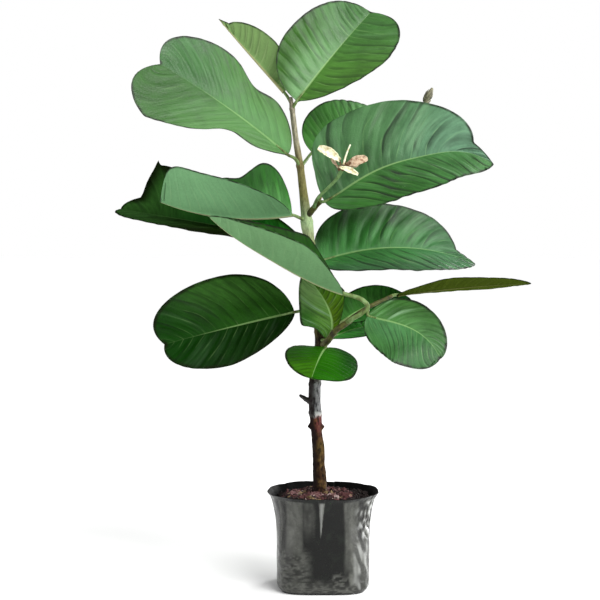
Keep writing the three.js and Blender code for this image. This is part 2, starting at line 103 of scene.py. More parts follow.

# Form: base and tip end the midrib, stalk leads up to the base, and face is the side that the upper
# surface looks to. arch bends the midrib to that side and bow across it, most at peak, with a flat
# top where flat is over 2, and twist turns the tip in degrees. quilt is how far the blade swells
# between its side veins and wave how far its margin swings, both in mm.
# Colours, as red, green and blue: upper for the left and right half, what they change to towards the
# margin (outer_colour) and the tip (tip_colour), the right half's outermost end (peak_colour), and
# under for the underside. Each is the leaf's own green with the light and shade that falls there
# painted in: paler where a half catches the light, darker where it is shaded.
# Looks, from 0 for none to 1: shade, the painted shade in the folds along the veins; streaky, the
# streaks between them; painted_shine, painted patches of shine; gloss, the shader's specular level;
# vein_seen and rib_seen; rib_end, what is left of the midrib at the tip. margin widens the dark margin,
# and margin_from is where it begins on the left half.
LEAVES = {
    "leaf_01": dict(
        base=(-23.4, -4, 438), tip=(44.3, 42, 521.5), face=(0.05, -0.8, 0.6), arch=4,
        left=side(46, 0.42, 2.0, 2.3, 12), right=side(49, 0.62, 1.45, 2.5, 14, notch=0.03),
        stalk=[(-28, 0, 431), (-25.5, -2, 435)],
        upper=((92, 135, 82), (65, 112, 37)), outer_colour=((44, 88, 18), (62, 105, 35)),
        tip_colour=((67, 110, 58), (59, 106, 46)), under=(110, 145, 90),
        quilt=1.1, wave=1.2, shade=0.6, streaky=0.8,
    ),
    "leaf_02": dict(
        base=(-35.1, 16, 447), tip=(-95.2, 50, 516), face=(0.75, 0.55, 0.3), arch=-2, bow=-2,
        left=side(25, 0.4, 1.8, 1.8, 40, drip=0.1), right=side(23, 0.42, 1.8, 1.8, 60, drip=0.12),
        stalk=[(-28.4, 1, 436), (-31, 8, 441)],
        upper=((60, 105, 45), (60, 105, 45)), under=(105, 136, 79), quilt=1.0, wave=0.8, shade=1.0,
    ),
    "leaf_03": dict(
        base=(-31.4, -6, 390), tip=(-143.1, -30, 468.6), face=(-0.1, -0.8, 0.6), arch=6,
        left=side(57, 0.9, 1.15, 2.2, 6, notch=0.1, waist=(0.4, 0.4, 0.16), sweep=0.22),
        right=side(46, 0.68, 2.0, 2.6, 6, notch=0.06, waist=(0.24, 0.42, 0.13), sweep=0.2),
        stalk=[(-20.6, -1, 380), (-25.5, -4, 387)],
        upper=((73, 118, 60), (75, 123, 64)), outer_colour=((75, 119, 60), (66, 111, 49)),
        tip_colour=((47, 90, 33), (47, 95, 40)), under=(110, 145, 100),
        quilt=0.7, wave=1.5, shade=0.3, vein_seen=0.5, rib_seen=0.4, rib_end=0.15, streaky=0.55,
    ),
    "leaf_04": dict(
        base=(1, -14, 348.5), tip=(148.8, -36, 380.9), face=(-0.05, -0.88, 0.45),
        arch=6, bow=-20, peak=0.6, flat=3,
        left=side(59, 0.26, 2.0, 2.2, 16, drip=0.11, sweep=0.05),
        right=side(38, 0.38, 1.7, 2.35, 8, sweep=0.18),
        stalk=[(-3.5, -11, 348.2), (-1.5, -12.5, 348.4)],
        upper=((58, 99, 55), (55, 105, 46)), outer_colour=((66, 108, 63), (44, 96, 32)),
        tip_colour=((99, 141, 110), (62, 112, 57)), under=(105, 142, 98),
        quilt=1.8, wave=1.5, shade=1.0, margin_from=0.4, painted_shine=0.35,
    ),
    "leaf_05": dict(
        base=(-9.4, 24, 393), tip=(60, 84, 427), face=(-0.1, -0.8, 0.6), arch=8,
        left=side(38, 0.47, 2.15, 1.9, 8), right=side(39, 0.49, 1.9, 1.8, 8),
        stalk=[(-20.2, 1, 379), (-15, 12, 386)],
        upper=((68, 125, 53), (66, 118, 58)), tip_colour=((73, 119, 67), (66, 118, 62)),
        under=(105, 142, 95), quilt=1.2, wave=1.2, shade=0.7,
    ),
    "leaf_06": dict(
        base=(-4.5, 8, 294), tip=(142.9, 60, 289.9), face=(0, -0.7, 0.7), arch=14, bow=-6,
        left=side(45, 0.36, 2.3, 2.2, 20, drip=0.13, sweep=0.04),
        right=side(35, 0.55, 2.15, 1.5, 10, sweep=0.12),
        stalk=[(-10.4, 1, 290), (-7, 5, 292.5)],
        upper=((54, 118, 51), (55, 117, 54)), outer_colour=((24, 70, 17), (50, 93, 53)),
        tip_colour=((54, 100, 58), (46, 93, 53)), under=(105, 142, 98),
        quilt=1.6, wave=1.2, shade=0.85, painted_shine=0.25,
    ),
    "leaf_07": dict(
        base=(-27.8, -8, 336.5), tip=(-149.8, 40, 348), face=(0, -0.1, 1), arch=-8, twist=-30,
        left=side(42, 0.55, 2.3, 5.5, 50), right=side(55, 0.3, 2.0, 1.5, 70, waist=(0.17, 0.48, 0.12)),
        stalk=[(-14.3, -1, 331), (-21, -5, 334)],
        upper=((70, 138, 56), (92, 152, 84)), outer_colour=((58, 128, 44), (66, 138, 54)),
        under=(104, 152, 104), quilt=0.5, wave=1.0, shade=0.2, vein_seen=0.5,
    ),
    "leaf_08": dict(
        base=(17.3, -26, 267.6), tip=(-99.7, -50, 336), face=(0.5, -0.35, 0.8), arch=-6, flat=3,
        left=side(54, 0.42, 1.4, 1.6, 50), right=side(37, 0.36, 1.2, 1.3, 45),
        stalk=[(21, -18.4, 241), (26, -24, 245), (34, -28, 250), (39, -29, 256), (34, -28, 262)],
        stalk_radius=2.6,
        upper=((22, 64, 3), (20, 64, 2)), under=(104, 145, 99), quilt=0.5, wave=0.8, shade=0.15,
        gloss=0.05, vein_seen=0.4, painted_shine=0.04,
    ),
    "leaf_09": dict(
        base=(66, -5, 265), tip=(180.8, -45, 277.7), face=(0, 0.25, 1), arch=2,
        left=side(30, 0.5, 1.3, 1.8, 4), right=side(30, 0.5, 1.3, 1.8, 4),
        stalk=[(60, -7.6, 263.3), (63, -6, 264.6)],
        upper=((34, 42, 5), (34, 42, 5)), under=(55, 68, 18), quilt=0.3, wave=0.8, shade=0.5,
        **DARK,
    ),
    "leaf_10": dict(
        base=(39.6, -19, 247.5), tip=(101.8, -48, 211.5), face=(0, -0.8, 0.6),
        arch=6, bow=-8, peak=0.6,
        left=side(26, 0.42, 2.0, 1.7, 10, sweep=0.18),
        right=side(43, 0.65, 2.0, 2.2, 10, notch=0.07, sweep=0.34),
        stalk=[(39.5, -16.2, 254), (39.6, -18, 250.5)],
        upper=((65, 113, 54), (65, 115, 65)), outer_colour=((52, 99, 37), (54, 103, 48)),
        tip_colour=((64, 108, 57), (36, 86, 33)), under=(100, 135, 88),
        quilt=1.0, wave=1.2, shade=0.6, gloss=0.25, painted_shine=0.6, margin=1.3,
    ),
    "leaf_11": dict(
        base=(7.4, 7, 225), tip=(65, 50, 232.5), face=(0, -0.35, 0.9), arch=5,
        left=side(22, 0.5, 2.0, 1.8, 10), right=side(28, 0.5, 2.0, 1.8, 10),
        stalk=[(-2, 1, 219), (4, 5, 223)],
        upper=((46, 126, 31), (58, 136, 50)), under=(80, 120, 80), quilt=0.3, wave=0.8, shade=0.4,
        gloss=0.05, vein_seen=0.3, painted_shine=0.04,
    ),
    "leaf_12": dict(
        base=(16, 8, 239), tip=(79, 70, 259.5), face=(0, -0.7, 0.7), arch=8,
        left=side(21, 0.42, 2.4, 1.8, 10), right=side(24, 0.5, 1.6, 1.8, 10),
        stalk=[(-3, 1, 231), (7, 6, 236)],
        upper=((47, 88, 37), (25, 75, 25)), outer_colour=((45, 88, 35), (50, 102, 44)),
        tip_colour=((17, 48, 9), (24, 62, 24)),
        under=(80, 120, 80), quilt=0.2, wave=0.6, shade=0.4, gloss=0.0, vein_seen=0.1, painted_shine=0.04,
    ),
    "leaf_13": dict(
        base=(-18.9, 10, 313.5), tip=(-191, 90, 341), face=(0, -0.1, 1), arch=0,
        left=side(45, 0.5, 2.0, 2.4, 0),
        right=side(48, 0.81, 1.35, 2.6, 72, drip=0.1, drip_wide=0.3, drip_bend=0.5,
                   horn=(0.16, 0.857, 0.03)),
        stalk=[(-12.6, 1, 310), (-15.5, 6, 312.5)],
        upper=((25, 44, 8), (35, 102, 35)), outer_colour=((16, 24, 7), (38, 98, 29)),
        tip_colour=((54, 92, 42), (46, 84, 34)), peak_colour=(17, 28, 9), under=(12, 26, 3),
        quilt=0.6, wave=1.0, shade=0.4, **DARK,
    ),
    "leaf_14": dict(
        base=(-25.5, -4, 249.4), tip=(-139, -50, 224.4), face=(-0.1, -0.9, 0.35), arch=2,
        left=side(36, 0.61, 1.45, 2.15, 6, notch=0.035, sweep=0.12),
        right=side(48, 0.47, 2.1, 2.3, 6, notch=0.065, sweep=0.12),
        stalk=[(-5.3, 0, 249), (-16, -2.5, 250.5)],
        upper=((8, 34, 3), (26, 62, 12)), outer_colour=((7, 31, 2), (48, 88, 32)),
        tip_colour=((8, 42, 3), (12, 46, 5)), under=(60, 95, 50),
        quilt=0.7, wave=1.0, shade=0.5, gloss=0.02, vein_seen=0.5, rib_seen=0.42, rib_end=0.15,
        margin=1.6, painted_shine=0.04,
    ),
    "leaf_15": dict(
        base=(2.6, -14, 218.4), tip=(-10.8, -80, 197.8), face=(0, -0.4, 0.9), arch=4,
        left=side(35, 0.55, 2.2, 2.6, -3, curl=-18, lobe=0.2),
        right=side(31, 0.42, 2.3, 1.8, 2, lobe=0.06),
        stalk=[(-2, -1, 213), (0.5, -8, 216.5)],
        upper=((31, 90, 3), (30, 83, 3)), outer_colour=((11, 60, 2), (26, 67, 5)),
        tip_colour=((28, 86, 3), (52, 102, 12)), under=(85, 140, 60),
        quilt=0.2, wave=0.8, shade=0.3, gloss=0.05, vein_seen=0.2, rib_seen=0.8, painted_shine=0.04,
        streaky=0.5,
    ),
    "leaf_16": dict(
        base=(3, -10.5, 225.5), tip=(-18, -13, 285), face=(-0.1, -0.97, 0.1),
        arch=1, bow=11, peak=0.36,
        left=side(28, 0.36, 2.6, 1.6, 12, sweep=0.38), right=side(20, 0.52, 0.95, 1.25, -2),
        stalk=[(-2.4, -1, 224), (0.2, -7, 224.5)],
        upper=((71, 112, 42), (66, 98, 3)), outer_colour=((38, 84, 18), (53, 90, 3)),
        tip_colour=((104, 140, 80), (46, 90, 3)), under=(95, 130, 84),
        quilt=0.8, wave=0.5, shade=0.7, gloss=0.1, painted_shine=0.5, vein_seen=0.5,
    ),
}

LEAD = 0.16  # how far the side veins run forward, as a part of the length
VEIN_CURVE = 1.5  # how late they turn forward
LOBE_POWER = 6  # how near the foot a lobe keeps
DRIP_WIDTH = 0.16  # width of a drawn-out tip, as a part of the blade's
STALK_RADIUS = 1.9
VEINS = 12  # pairs of side veins
BLADE_THICK = 0.5
ROW_STEPS = (0, 0.06, 0.14, 0.24, 0.36, 0.5, 0.64, 0.76, 0.86, 0.94)  # rows between two veins
END_ROWS = (0.0008, 0.003, 0.007, 0.013, 0.02, 0.03, 0.045, 0.062)  # extra rows for the round ends
COLUMNS = np.array(
    [0, 0.01, 0.022, 0.038, 0.06, 0.09, 0.13, 0.18, 0.24, 0.31, 0.39, 0.48, 0.57, 0.66, 0.75, 0.83,
     0.9, 0.95, 0.982, 1]
)


# ---------- small helpers
def rgb(red, green, blue):
    """A colour given as 0 to 255 on screen, as Blender's linear colour."""
    def linear(c):
        c /= 255
        return c / 12.92 if c <= 0.04045 else ((c + 0.055) / 1.055) ** 2.4
    return (linear(red), linear(green), linear(blue), 1.0)


def unit(v):
    return v / np.maximum(np.linalg.norm(v, axis=-1, keepdims=True), 1e-9)


def smooth(low, high, x):
    """0 below low, 1 above high and a smooth step between."""
    k = np.clip((x - low) / (high - low), 0, 1)
    return k * k * (3 - 2 * k)


def bell(x, spread):
    """1 where x is 0, and falling away to both sides."""
    return np.exp(-((x / spread) ** 2))


def noise_at(points, size, seed):
    """Smooth noise from about -1 to 1 at each point, with bumps of the given size."""
    shift = Vector((seed * 17.3, seed * 5.1, seed * 9.7))
    flat = np.asarray(points, float).reshape(-1, 3) / size
    values = [noise.noise(Vector(p) + shift) for p in flat]
    return np.array(values).reshape(np.shape(points)[:-1])


def curve(points, u):
    """Points of a centripetal Catmull-Rom curve at u from 0 to 1."""
    p = np.asarray(points, float)
    ends = np.vstack([2 * p[0] - p[1], p, 2 * p[-1] - p[-2]])
    along = np.clip(u, 0, 1) * (len(p) - 1)
    k = np.minimum(along.astype(int), len(p) - 2)
    w = (along - k)[:, None]
    p0, p1, p2, p3 = (ends[k + i] for i in range(4))
    d0, d1, d2 = (
        np.linalg.norm(b - a, axis=1, keepdims=True) ** 0.5 for a, b in ((p0, p1), (p1, p2), (p2, p3))
    )
    m1 = ((p1 - p0) / d0 - (p2 - p0) / (d0 + d1) + (p2 - p1) / d1) * d1
    m2 = ((p2 - p1) / d1 - (p3 - p1) / (d1 + d2) + (p3 - p2) / d2) * d1
    return p1 + m1 * w + (3 * (p2 - p1) - 2 * m1 - m2) * w**2 + (2 * (p1 - p2) + m1 + m2) * w**3


def grid_faces(rows, columns, wrap=False):
    """Quads of a grid of points numbered row by row."""
    r, c = np.mgrid[0 : rows - 1, 0 : columns if wrap else columns - 1]
    nxt = (c + 1) % columns
    corners = [r * columns + c, r * columns + nxt, (r + 1) * columns + nxt, (r + 1) * columns + c]
    return np.stack(corners, -1).reshape(-1, 4).tolist()


def capped_faces(rings, sides):
    """Faces of a tube of rings whose first and last end close in the two points that follow it."""
    faces = grid_faces(rings, sides, wrap=True)
    first, last_ring = rings * sides, (rings - 1) * sides
    for i in range(sides):
        j = (i + 1) % sides
        faces += [[first, j, i], [first + 1, last_ring + i, last_ring + j]]
    return faces


def turns(sides):
    return np.arange(sides) * 2 * np.pi / sides


def around_z(turn, radius, z):
    """Points at these angles and radii round the z axis."""
    return np.stack([radius * np.cos(turn), radius * np.sin(turn), z], -1)


def lathe(profile, sides):
    """Angle and height of each point of a profile of (radius, height) turned round the z axis."""
    return np.repeat(turns(sides)[None], len(profile), 0), np.repeat(profile[:, 1:2], sides, 1)


class Shape:
    """Points, faces, each face's material number and values kept at each point."""

    def __init__(self):
        self.points = []
        self.faces = []
        self.materials = []
        self.values = {}
        self.count = 0

    def add(self, points, faces, material=0, **values):
        """material is one number, or a list with one for each face."""
        points = np.asarray(points, float).reshape(-1, 3)
        self.faces += [[i + self.count for i in f] for f in faces]
        self.materials += material if isinstance(material, list) else [material] * len(faces)
        for name in sorted({*self.values, *values}):
            before = self.values.setdefault(name, [np.zeros(self.count)])
            before.append(np.asarray(values.get(name, np.zeros(len(points))), float).ravel())
        self.points.append(points)
        self.count += len(points)


def add_object(name, data):
    """A new object with this mesh, light or camera, in the scene."""
    made = bpy.data.objects.new(name, data)
    bpy.context.scene.collection.objects.link(made)
    return made


def make_piece(name, shape, materials, slot, *replaced, flat=False):
    """Turns a Shape into a Blender object that rides on the part and stands for CAD nodes."""
    mesh = bpy.data.meshes.new(name)
    mesh.from_pydata((np.vstack(shape.points) * MM).tolist(), [], shape.faces)
    mesh.polygons.foreach_set("material_index", shape.materials)
    mesh.polygons.foreach_set("use_smooth", [not flat] * len(shape.faces))
    for key, values in shape.values.items():
        attribute = mesh.attributes.new(key, "FLOAT", "POINT")
        attribute.data.foreach_set("value", np.concatenate(values).astype(np.float32))
    work = bmesh.new()
    work.from_mesh(mesh)
    bmesh.ops.recalc_face_normals(work, faces=work.faces)
    work.to_mesh(mesh)
    work.free()
    for material in materials:
        mesh.materials.append(material)
    piece = add_object(name, mesh)
    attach(piece, "root")
    if replaced:
        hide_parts(*replaced)


# ---------- materials
class Paint:
    """A Principled material with short calls for the nodes that colour it."""

    def __init__(self, name, roughness, specular):
        self.material = bpy.data.materials.new(name)
        self.material.use_nodes = True
        self.tree = self.material.node_tree
        self.shader = self.tree.nodes["Principled BSDF"]
        self.shader.inputs["Roughness"].default_value = roughness
        self.shader.inputs["Specular IOR Level"].default_value = specular

    def put(self, socket, value):
        if isinstance(value, bpy.types.NodeSocket):
            self.tree.links.new(value, socket)
        else:
            socket.default_value = value

    def node(self, kind, output, inputs=None, **settings):
        made = self.tree.nodes.new(kind)
        for key, value in settings.items():
            setattr(made, key, value)
        for key, value in (inputs or {}).items():
            self.put(made.inputs[key], value)
        return made.outputs[output]

    def place(self):
        return self.node("ShaderNodeTexCoord", "Object")

    def value(self, name):
        return self.node("ShaderNodeAttribute", "Fac", attribute_name=name)

    def math(self, operation, a, b=0.0, c=0.0):
        return self.node("ShaderNodeMath", 0, {0: a, 1: b, 2: c}, operation=operation)

    def times(self, first, *others):
        for other in others:
            first = self.math("MULTIPLY", first, other)
        return first

    def step(self, x, low, high, out_low=0.0, out_high=1.0, kind="SMOOTHSTEP"):
        inputs = {"Value": x, "From Min": low, "From Max": high, "To Min": out_low, "To Max": out_high}
        return self.node("ShaderNodeMapRange", 0, inputs, interpolation_type=kind)

    def mix(self, factor, a, b):
        return self.node("ShaderNodeMix", 2, {0: factor, 6: a, 7: b}, data_type="RGBA")

    def tinted(self, colour, factor):
        """The same colour, darker or lighter."""
        inputs = {0: colour, 1: (factor,) * 3}
        return self.node("ShaderNodeVectorMath", "Vector", inputs, operation="MULTIPLY")

    def toned(self, colour, mask, factor):
        """The colour, darker or lighter where the mask is 1."""
        return self.mix(mask, colour, self.tinted(colour, factor))

    def upright(self, scale):
        """Places squeezed along z, which draws noise out upwards."""
        return self.node("ShaderNodeMapping", 0, {"Vector": self.place(), "Scale": (1, 1, scale)})

    def noise(self, size, detail=3.0, where=None, rough=0.55):
        """Noise from 0 to 1 with bumps of the given size in millimetres."""
        inputs = {"Vector": where or self.place(), "Scale": 1 / (size * MM)}
        inputs |= {"Detail": detail, "Roughness": rough}
        return self.node("ShaderNodeTexNoise", "Fac", inputs)

    def cells(self, size):
        """How far each place is from the border of its cell."""
        inputs = {"Vector": self.place(), "Scale": 1 / (size * MM)}
        return self.node("ShaderNodeTexVoronoi", "Distance", inputs, feature="DISTANCE_TO_EDGE")

    def ramp(self, x, stops):
        made = self.tree.nodes.new("ShaderNodeValToRGB")
        self.put(made.inputs[0], x)
        while len(made.color_ramp.elements) < len(stops):
            made.color_ramp.elements.new(0.5)
        for element, (at, colour) in zip(made.color_ramp.elements, stops):
            element.position = at
            element.color = colour
        return made.outputs[0]

    def bump(self, height, depth, below=None):
        """A bump whose height from 0 to 1 stands for depth in millimetres."""
        inputs = {"Height": height, "Distance": depth * MM, "Strength": 1.0}
        if below is not None:
            inputs["Normal"] = below
        return self.node("ShaderNodeBump", 0, inputs)

    def finish(self, colour, normal=None, roughness=None):
        painted = {"Base Color": colour, "Normal": normal, "Roughness": roughness}
        for key, value in painted.items():
            if value is not None:
                self.put(self.shader.inputs[key], value)
        return self.material


def tint(colour, factor):
    return tuple(c * factor for c in colour[:3]) + (1.0,)


def blend(a, b, k):
    return tuple(x + (y - x) * k for x, y in zip(a, b))


MARGIN = rgb(12, 20, 4)
RIB_PALE = rgb(150, 186, 118)
UNDER_VEIN = rgb(190, 200, 150)
UNDER_RIB = rgb(196, 178, 138)
PAINTED_SHINE_COLOUR = rgb(140, 178, 136)  # painted shine: pale patches where the blade shines


def vein_masks(paint, leaf, line_mm):
    """Masks of the side veins' lines, of the painted shade in the fold beside each vein and of the
    midrib.
    """
    along, out = paint.value("along"), paint.value("out")
    phase = paint.math("MULTIPLY_ADD", paint.noise(48, detail=1), 1.5, paint.value("vein"))
    gap = paint.times(paint.math("PINGPONG", phase, 0.5), paint.value("panel"))
    line = paint.times(paint.step(gap, line_mm * 1.6, line_mm * 0.4), paint.step(out, 0.97, 0.55),
                       paint.step(along, 0, 0.06), leaf.get("vein_seen", 1.0))
    behind = paint.math("FRACT", phase)
    fold = paint.times(paint.step(behind, 0.55, 0.08), paint.step(behind, 0.0, 0.08),
                       paint.step(vein_streaks(paint, 15), 0.36, 0.62), paint.step(out, 0.02, 0.3))
    rib_width = paint.step(along, 0.0, 0.95, 1.3, 0.35)
    rib = paint.step(paint.math("DIVIDE", paint.value("from_rib"), rib_width), 1.0, 0.55)
    return line, fold, rib


def vein_streaks(paint, size=3.6):
    """Noise drawn out along the side veins, from 0 to 1, size mm wide."""
    run = paint.times(paint.value("vein"), paint.value("panel"), MM)
    out = paint.times(paint.value("from_rib"), 0.16 * MM)
    half = paint.times(paint.math("SIGN", paint.value("across")), 40, MM)  # the halves differ
    where = paint.node("ShaderNodeCombineXYZ", 0, {0: run, 1: out, 2: half})
    return paint.noise(size, where=where, rough=0.6)


def right_half(paint):
    return paint.step(paint.value("across"), -0.02, 0.02)


def two_halves(paint, colours):
    """The first colour on the left half and the second on the right half."""
    return paint.mix(right_half(paint), rgb(*colours[0]), rgb(*colours[1]))


def body_colour(paint, leaf):
    """The two halves' colours, changed towards the margin, the tip and the peak where given; they hold
    painted light and shade as well as the leaf's own green.
    """
    colour = two_halves(paint, leaf["upper"])
    for key, way, low, high in (("outer_colour", "out", 0.25, 0.8), ("tip_colour", "along", 0.3, 0.85)):
        if key in leaf:
            near = paint.step(paint.value(way), low, high)
            colour = paint.mix(near, colour, two_halves(paint, leaf[key]))
    if "peak_colour" in leaf:
        peak = paint.times(right_half(paint), paint.step(paint.value("out"), 0.6, 0.95),
                           paint.step(paint.value("along"), 0.96, 0.86))
        colour = paint.mix(peak, colour, rgb(*leaf["peak_colour"]))
    return colour


def with_margin(paint, leaf, colour, width):
    """The colour with the dark margin, uneven, which the left half can be without at its foot."""
    edge = paint.step(paint.value("to_edge"), width, width * 0.3, 0, 0.96)
    edge = paint.times(edge, paint.step(paint.noise(9, detail=2), 0.36, 0.56, 0.5, 1.0))
    if "margin_from" in leaf:
        start = leaf["margin_from"]
        begun = paint.step(paint.value("along"), start - 0.1, start + 0.1)
        edge = paint.times(edge, paint.math("MAXIMUM", begun, right_half(paint)))
    return paint.mix(edge, colour, MARGIN)


def upper_paint(name, leaf):
    """The leaf's satin upper surface: pale sunken veins, dark margin, a fine net between, painted shine
    and painted shade in the folds.
    """
    paint = Paint(name, 0.42, leaf.get("gloss", 0.3))
    line, fold, rib = vein_masks(paint, leaf, 0.4)
    cloud, fleck, streak = paint.noise(22), paint.noise(3.2, detail=2), vein_streaks(paint)
    streaky = leaf.get("streaky", 1.0)
    body = body_colour(paint, leaf)
    colour = paint.toned(body, paint.step(cloud, 0.6, 0.32, 0, 0.8), 0.72)
    colour = paint.toned(colour, paint.step(streak, 0.4, 0.65, 0, 0.42 * streaky), 1.45)
    colour = paint.toned(colour, paint.step(streak, 0.47, 0.27, 0, 0.5 * streaky), 0.52)
    # painted shine: pale patches along the veins where the blade shines
    painted_shine = paint.step(vein_streaks(paint, 10), 0.52, 0.74, 0, leaf.get("painted_shine", 0.12))
    colour = paint.mix(painted_shine, colour, PAINTED_SHINE_COLOUR)
    # painted shade in the folds beside the veins
    colour = paint.toned(colour, paint.times(fold, leaf["shade"]), 0.2)
    light = paint.tinted(body, 1.25)
    clear = paint.step(paint.noise(17, detail=2), 0.42, 0.68, 0.02, 0.4)
    colour = paint.mix(paint.times(line, clear), colour, paint.mix(0.45, light, RIB_PALE))
    faded = paint.step(paint.value("along"), 0.4, 0.85, 1.0, leaf.get("rib_end", 0.6))
    rib = paint.times(rib, leaf.get("rib_seen", 0.65), faded)
    colour = paint.mix(rib, colour, paint.mix(0.7, light, RIB_PALE))
    colour = with_margin(paint, leaf, colour, 2.9 * leaf.get("margin", 1.0))
    net = paint.step(paint.cells(2.4), 0.0, 0.12)
    normal = paint.bump(streak, 0.5, paint.bump(fleck, 0.12, paint.bump(net, 0.06)))
    return paint.finish(colour, normal, paint.step(cloud, 0.3, 0.7, 0.36, 0.5))


def under_paint(name, leaf):
    """The leaf's matt underside: paler, with standing veins, a light down and painted shade in the
    folds.
    """
    paint = Paint(name, 0.68, leaf.get("gloss", 0.2))
    line, fold, rib = vein_masks(paint, leaf, 0.5)
    cloud, fleck, streak = paint.noise(25), paint.noise(2.6), vein_streaks(paint)
    base = rgb(*leaf["under"])
    colour = paint.mix(paint.step(cloud, 0.3, 0.7, 0, 0.45), base, tint(base, 0.78))
    colour = paint.toned(colour, paint.step(streak, 0.35, 0.65, 0, 0.25), 1.25)
    colour = paint.toned(colour, paint.step(fleck, 0.4, 0.65, 0, 0.15), 1.25)
    net = paint.step(paint.cells(2.8), 0.1, 0.0, 0, 0.25)
    colour = paint.mix(net, colour, tint(base, 1.3))
    # painted shade in the folds beside the veins
    colour = paint.toned(colour, paint.times(fold, 0.6 * leaf["shade"]), 0.4)
    clear = paint.step(paint.noise(17, detail=2), 0.4, 0.68, 0.05, 0.42)
    colour = paint.mix(paint.times(line, clear), colour, blend(base, UNDER_VEIN, 0.4))
    rib = paint.times(rib, leaf.get("rib_seen", 0.75))
    colour = paint.mix(rib, colour, blend(base, UNDER_RIB, 0.6))
    colour = with_margin(paint, leaf, colour, 2.3)
    normal = paint.bump(streak, 0.35, paint.bump(fleck, 0.15, paint.bump(net, 0.12)))
    return paint.finish(colour, normal)


def stalk_paint():
    """Leaf stalks: olive green, browner in streaks."""
    paint = Paint("leaf_stalk", 0.6, 0.35)
    streak = paint.noise(4, where=paint.upright(0.35))
    stops = [(0.3, rgb(66, 70, 32)), (0.5, rgb(96, 118, 62)), (0.72, rgb(124, 152, 98))]
    return paint.finish(paint.ramp(streak, stops), paint.bump(paint.noise(0.8), 0.12))


BARK_LOW, BARK_HIGH = 85, 441
# The bark's colours up the stem: height, then red, green and blue.
BARK = [
    (88, 52, 30, 16), (112, 52, 34, 15), (130, 72, 56, 22), (142, 70, 34, 28), (153.5, 96, 48, 46),
    (155.5, 170, 168, 164), (159, 158, 158, 158), (162, 112, 112, 114), (184, 104, 104, 105),
    (192, 58, 50, 34), (217, 34, 25, 12), (226, 38, 29, 13), (240, 104, 98, 50), (300, 112, 112, 60),
    (320, 140, 152, 112), (331, 152, 176, 130), (341, 140, 150, 108), (352, 120, 118, 70),
    (384, 112, 104, 66), (404, 142, 138, 116), (434, 132, 126, 108),
]


def bark_paint():
    """Bark from brown at the foot through the grey graft to the olive young stem."""
    paint = Paint("bark", 0.75, 0.1)

    def at(z):
        return (z - BARK_LOW) / (BARK_HIGH - BARK_LOW)

    height = paint.node("ShaderNodeSeparateXYZ", "Z", {0: paint.place()})
    wobble = paint.times(paint.math("SUBTRACT", paint.noise(9, detail=2), 0.5), 12 * MM)
    up = paint.step(paint.math("ADD", height, wobble), BARK_LOW * MM, BARK_HIGH * MM, kind="LINEAR")
    colour = paint.ramp(up, [(at(z), rgb(*colour)) for z, *colour in BARK])
    fibre = paint.noise(2.2, detail=5, where=paint.upright(0.4), rough=0.65)
    patch = paint.noise(5, detail=4)
    old = paint.step(up, at(190), at(300), 1.0, 0.45)
    colour = paint.toned(colour, paint.times(paint.step(fibre, 0.54, 0.42, 0, 0.9), old), 0.12)
    colour = paint.toned(colour, paint.times(paint.step(patch, 0.54, 0.66, 0, 0.75), old), 1.8)
    lichen = paint.step(paint.noise(6), 0.48, 0.68)
    lichen = paint.times(paint.step(up, at(158), at(150)), lichen, 0.42)
    colour = paint.mix(lichen, colour, rgb(118, 94, 48))
    # painted shade: the old bark's left side and lower knobs darkened
    colour = paint.mix(paint.value("damp"), colour, rgb(18, 7, 7))
    normal = paint.bump(fibre, 0.5, paint.bump(paint.noise(0.9, detail=4), 0.2))
    return paint.finish(colour, normal, paint.step(fibre, 0.3, 0.7, 0.85, 0.62))


def shoot_paint(name, pale, dark):
    """Green-brown young wood."""
    paint = Paint(name, 0.62, 0.35)
    fine = paint.noise(1.1)
    colour = paint.ramp(paint.noise(5, detail=4), [(0.34, rgb(*dark)), (0.6, rgb(*pale))])
    colour = paint.toned(colour, paint.step(fine, 0.55, 0.4, 0, 0.35), 0.5)
    return paint.finish(colour, paint.bump(fine, 0.25))


def film_paint():
    """Black polythene, with painted sheen, partly dust, in grey bands and painted glints, partly
    stress-whitening, along its creases.
    """
    paint = Paint("black_film", 0.26, 0.22)
    grime = paint.noise(9, detail=5, rough=0.6)
    # painted sheen, partly dust: pale grey bands where the film reflects the lights
    dust = paint.times(paint.value("dust"), paint.step(grime, 0.3, 0.6, 0.6, 1.0))
    black = paint.mix(paint.step(grime, 0.5, 0.7), rgb(9, 10, 8), rgb(20, 24, 19))
    colour = paint.mix(dust, black, rgb(84, 85, 80))
    # painted glints, partly stress-whitening: whitish along the crinkles and facets
    colour = paint.mix(paint.value("stress"), colour, rgb(178, 180, 178))
    crease = paint.noise(5, detail=5, rough=0.6)
    normal = paint.bump(crease, 0.35, paint.bump(paint.noise(1.6), 0.06))
    return paint.finish(colour, normal, paint.step(grime, 0.35, 0.7, 0.2, 0.34))


def lining_paint():
    """The film's dull inner side, painted blacker than the outside as painted shade inside the bag."""
    paint = Paint("film_inside", 0.6, 0.05)
    grime = paint.noise(6, detail=4)
    colour = paint.mix(paint.step(grime, 0.4, 0.7), rgb(3, 3, 3), rgb(9, 8, 7))
    return paint.finish(colour, paint.bump(grime, 0.3))


def grain_paint(name, colour):
    """One kind of soil grain."""
    paint = Paint(name, 0.9, 0.25)
    colour = rgb(*colour)
    spot = paint.step(paint.noise(1.3, detail=4), 0.35, 0.65)
    body = paint.mix(spot, tint(colour, 0.6), tint(colour, 1.25))
    return paint.finish(body, paint.bump(paint.noise(0.5), 0.2))


def petal_paint(name, pale, brown):
    """Dry flower parts: pale with brown streaks."""
    paint = Paint(name, 0.8, 0.25)
    stops = [(0.36, rgb(*brown)), (0.55, rgb(*pale)), (0.8, tint(rgb(*pale), 1.1))]
    colour = paint.ramp(paint.noise(3, detail=4), stops)
    return paint.finish(colour, paint.bump(paint.noise(0.9, detail=4), 0.25))


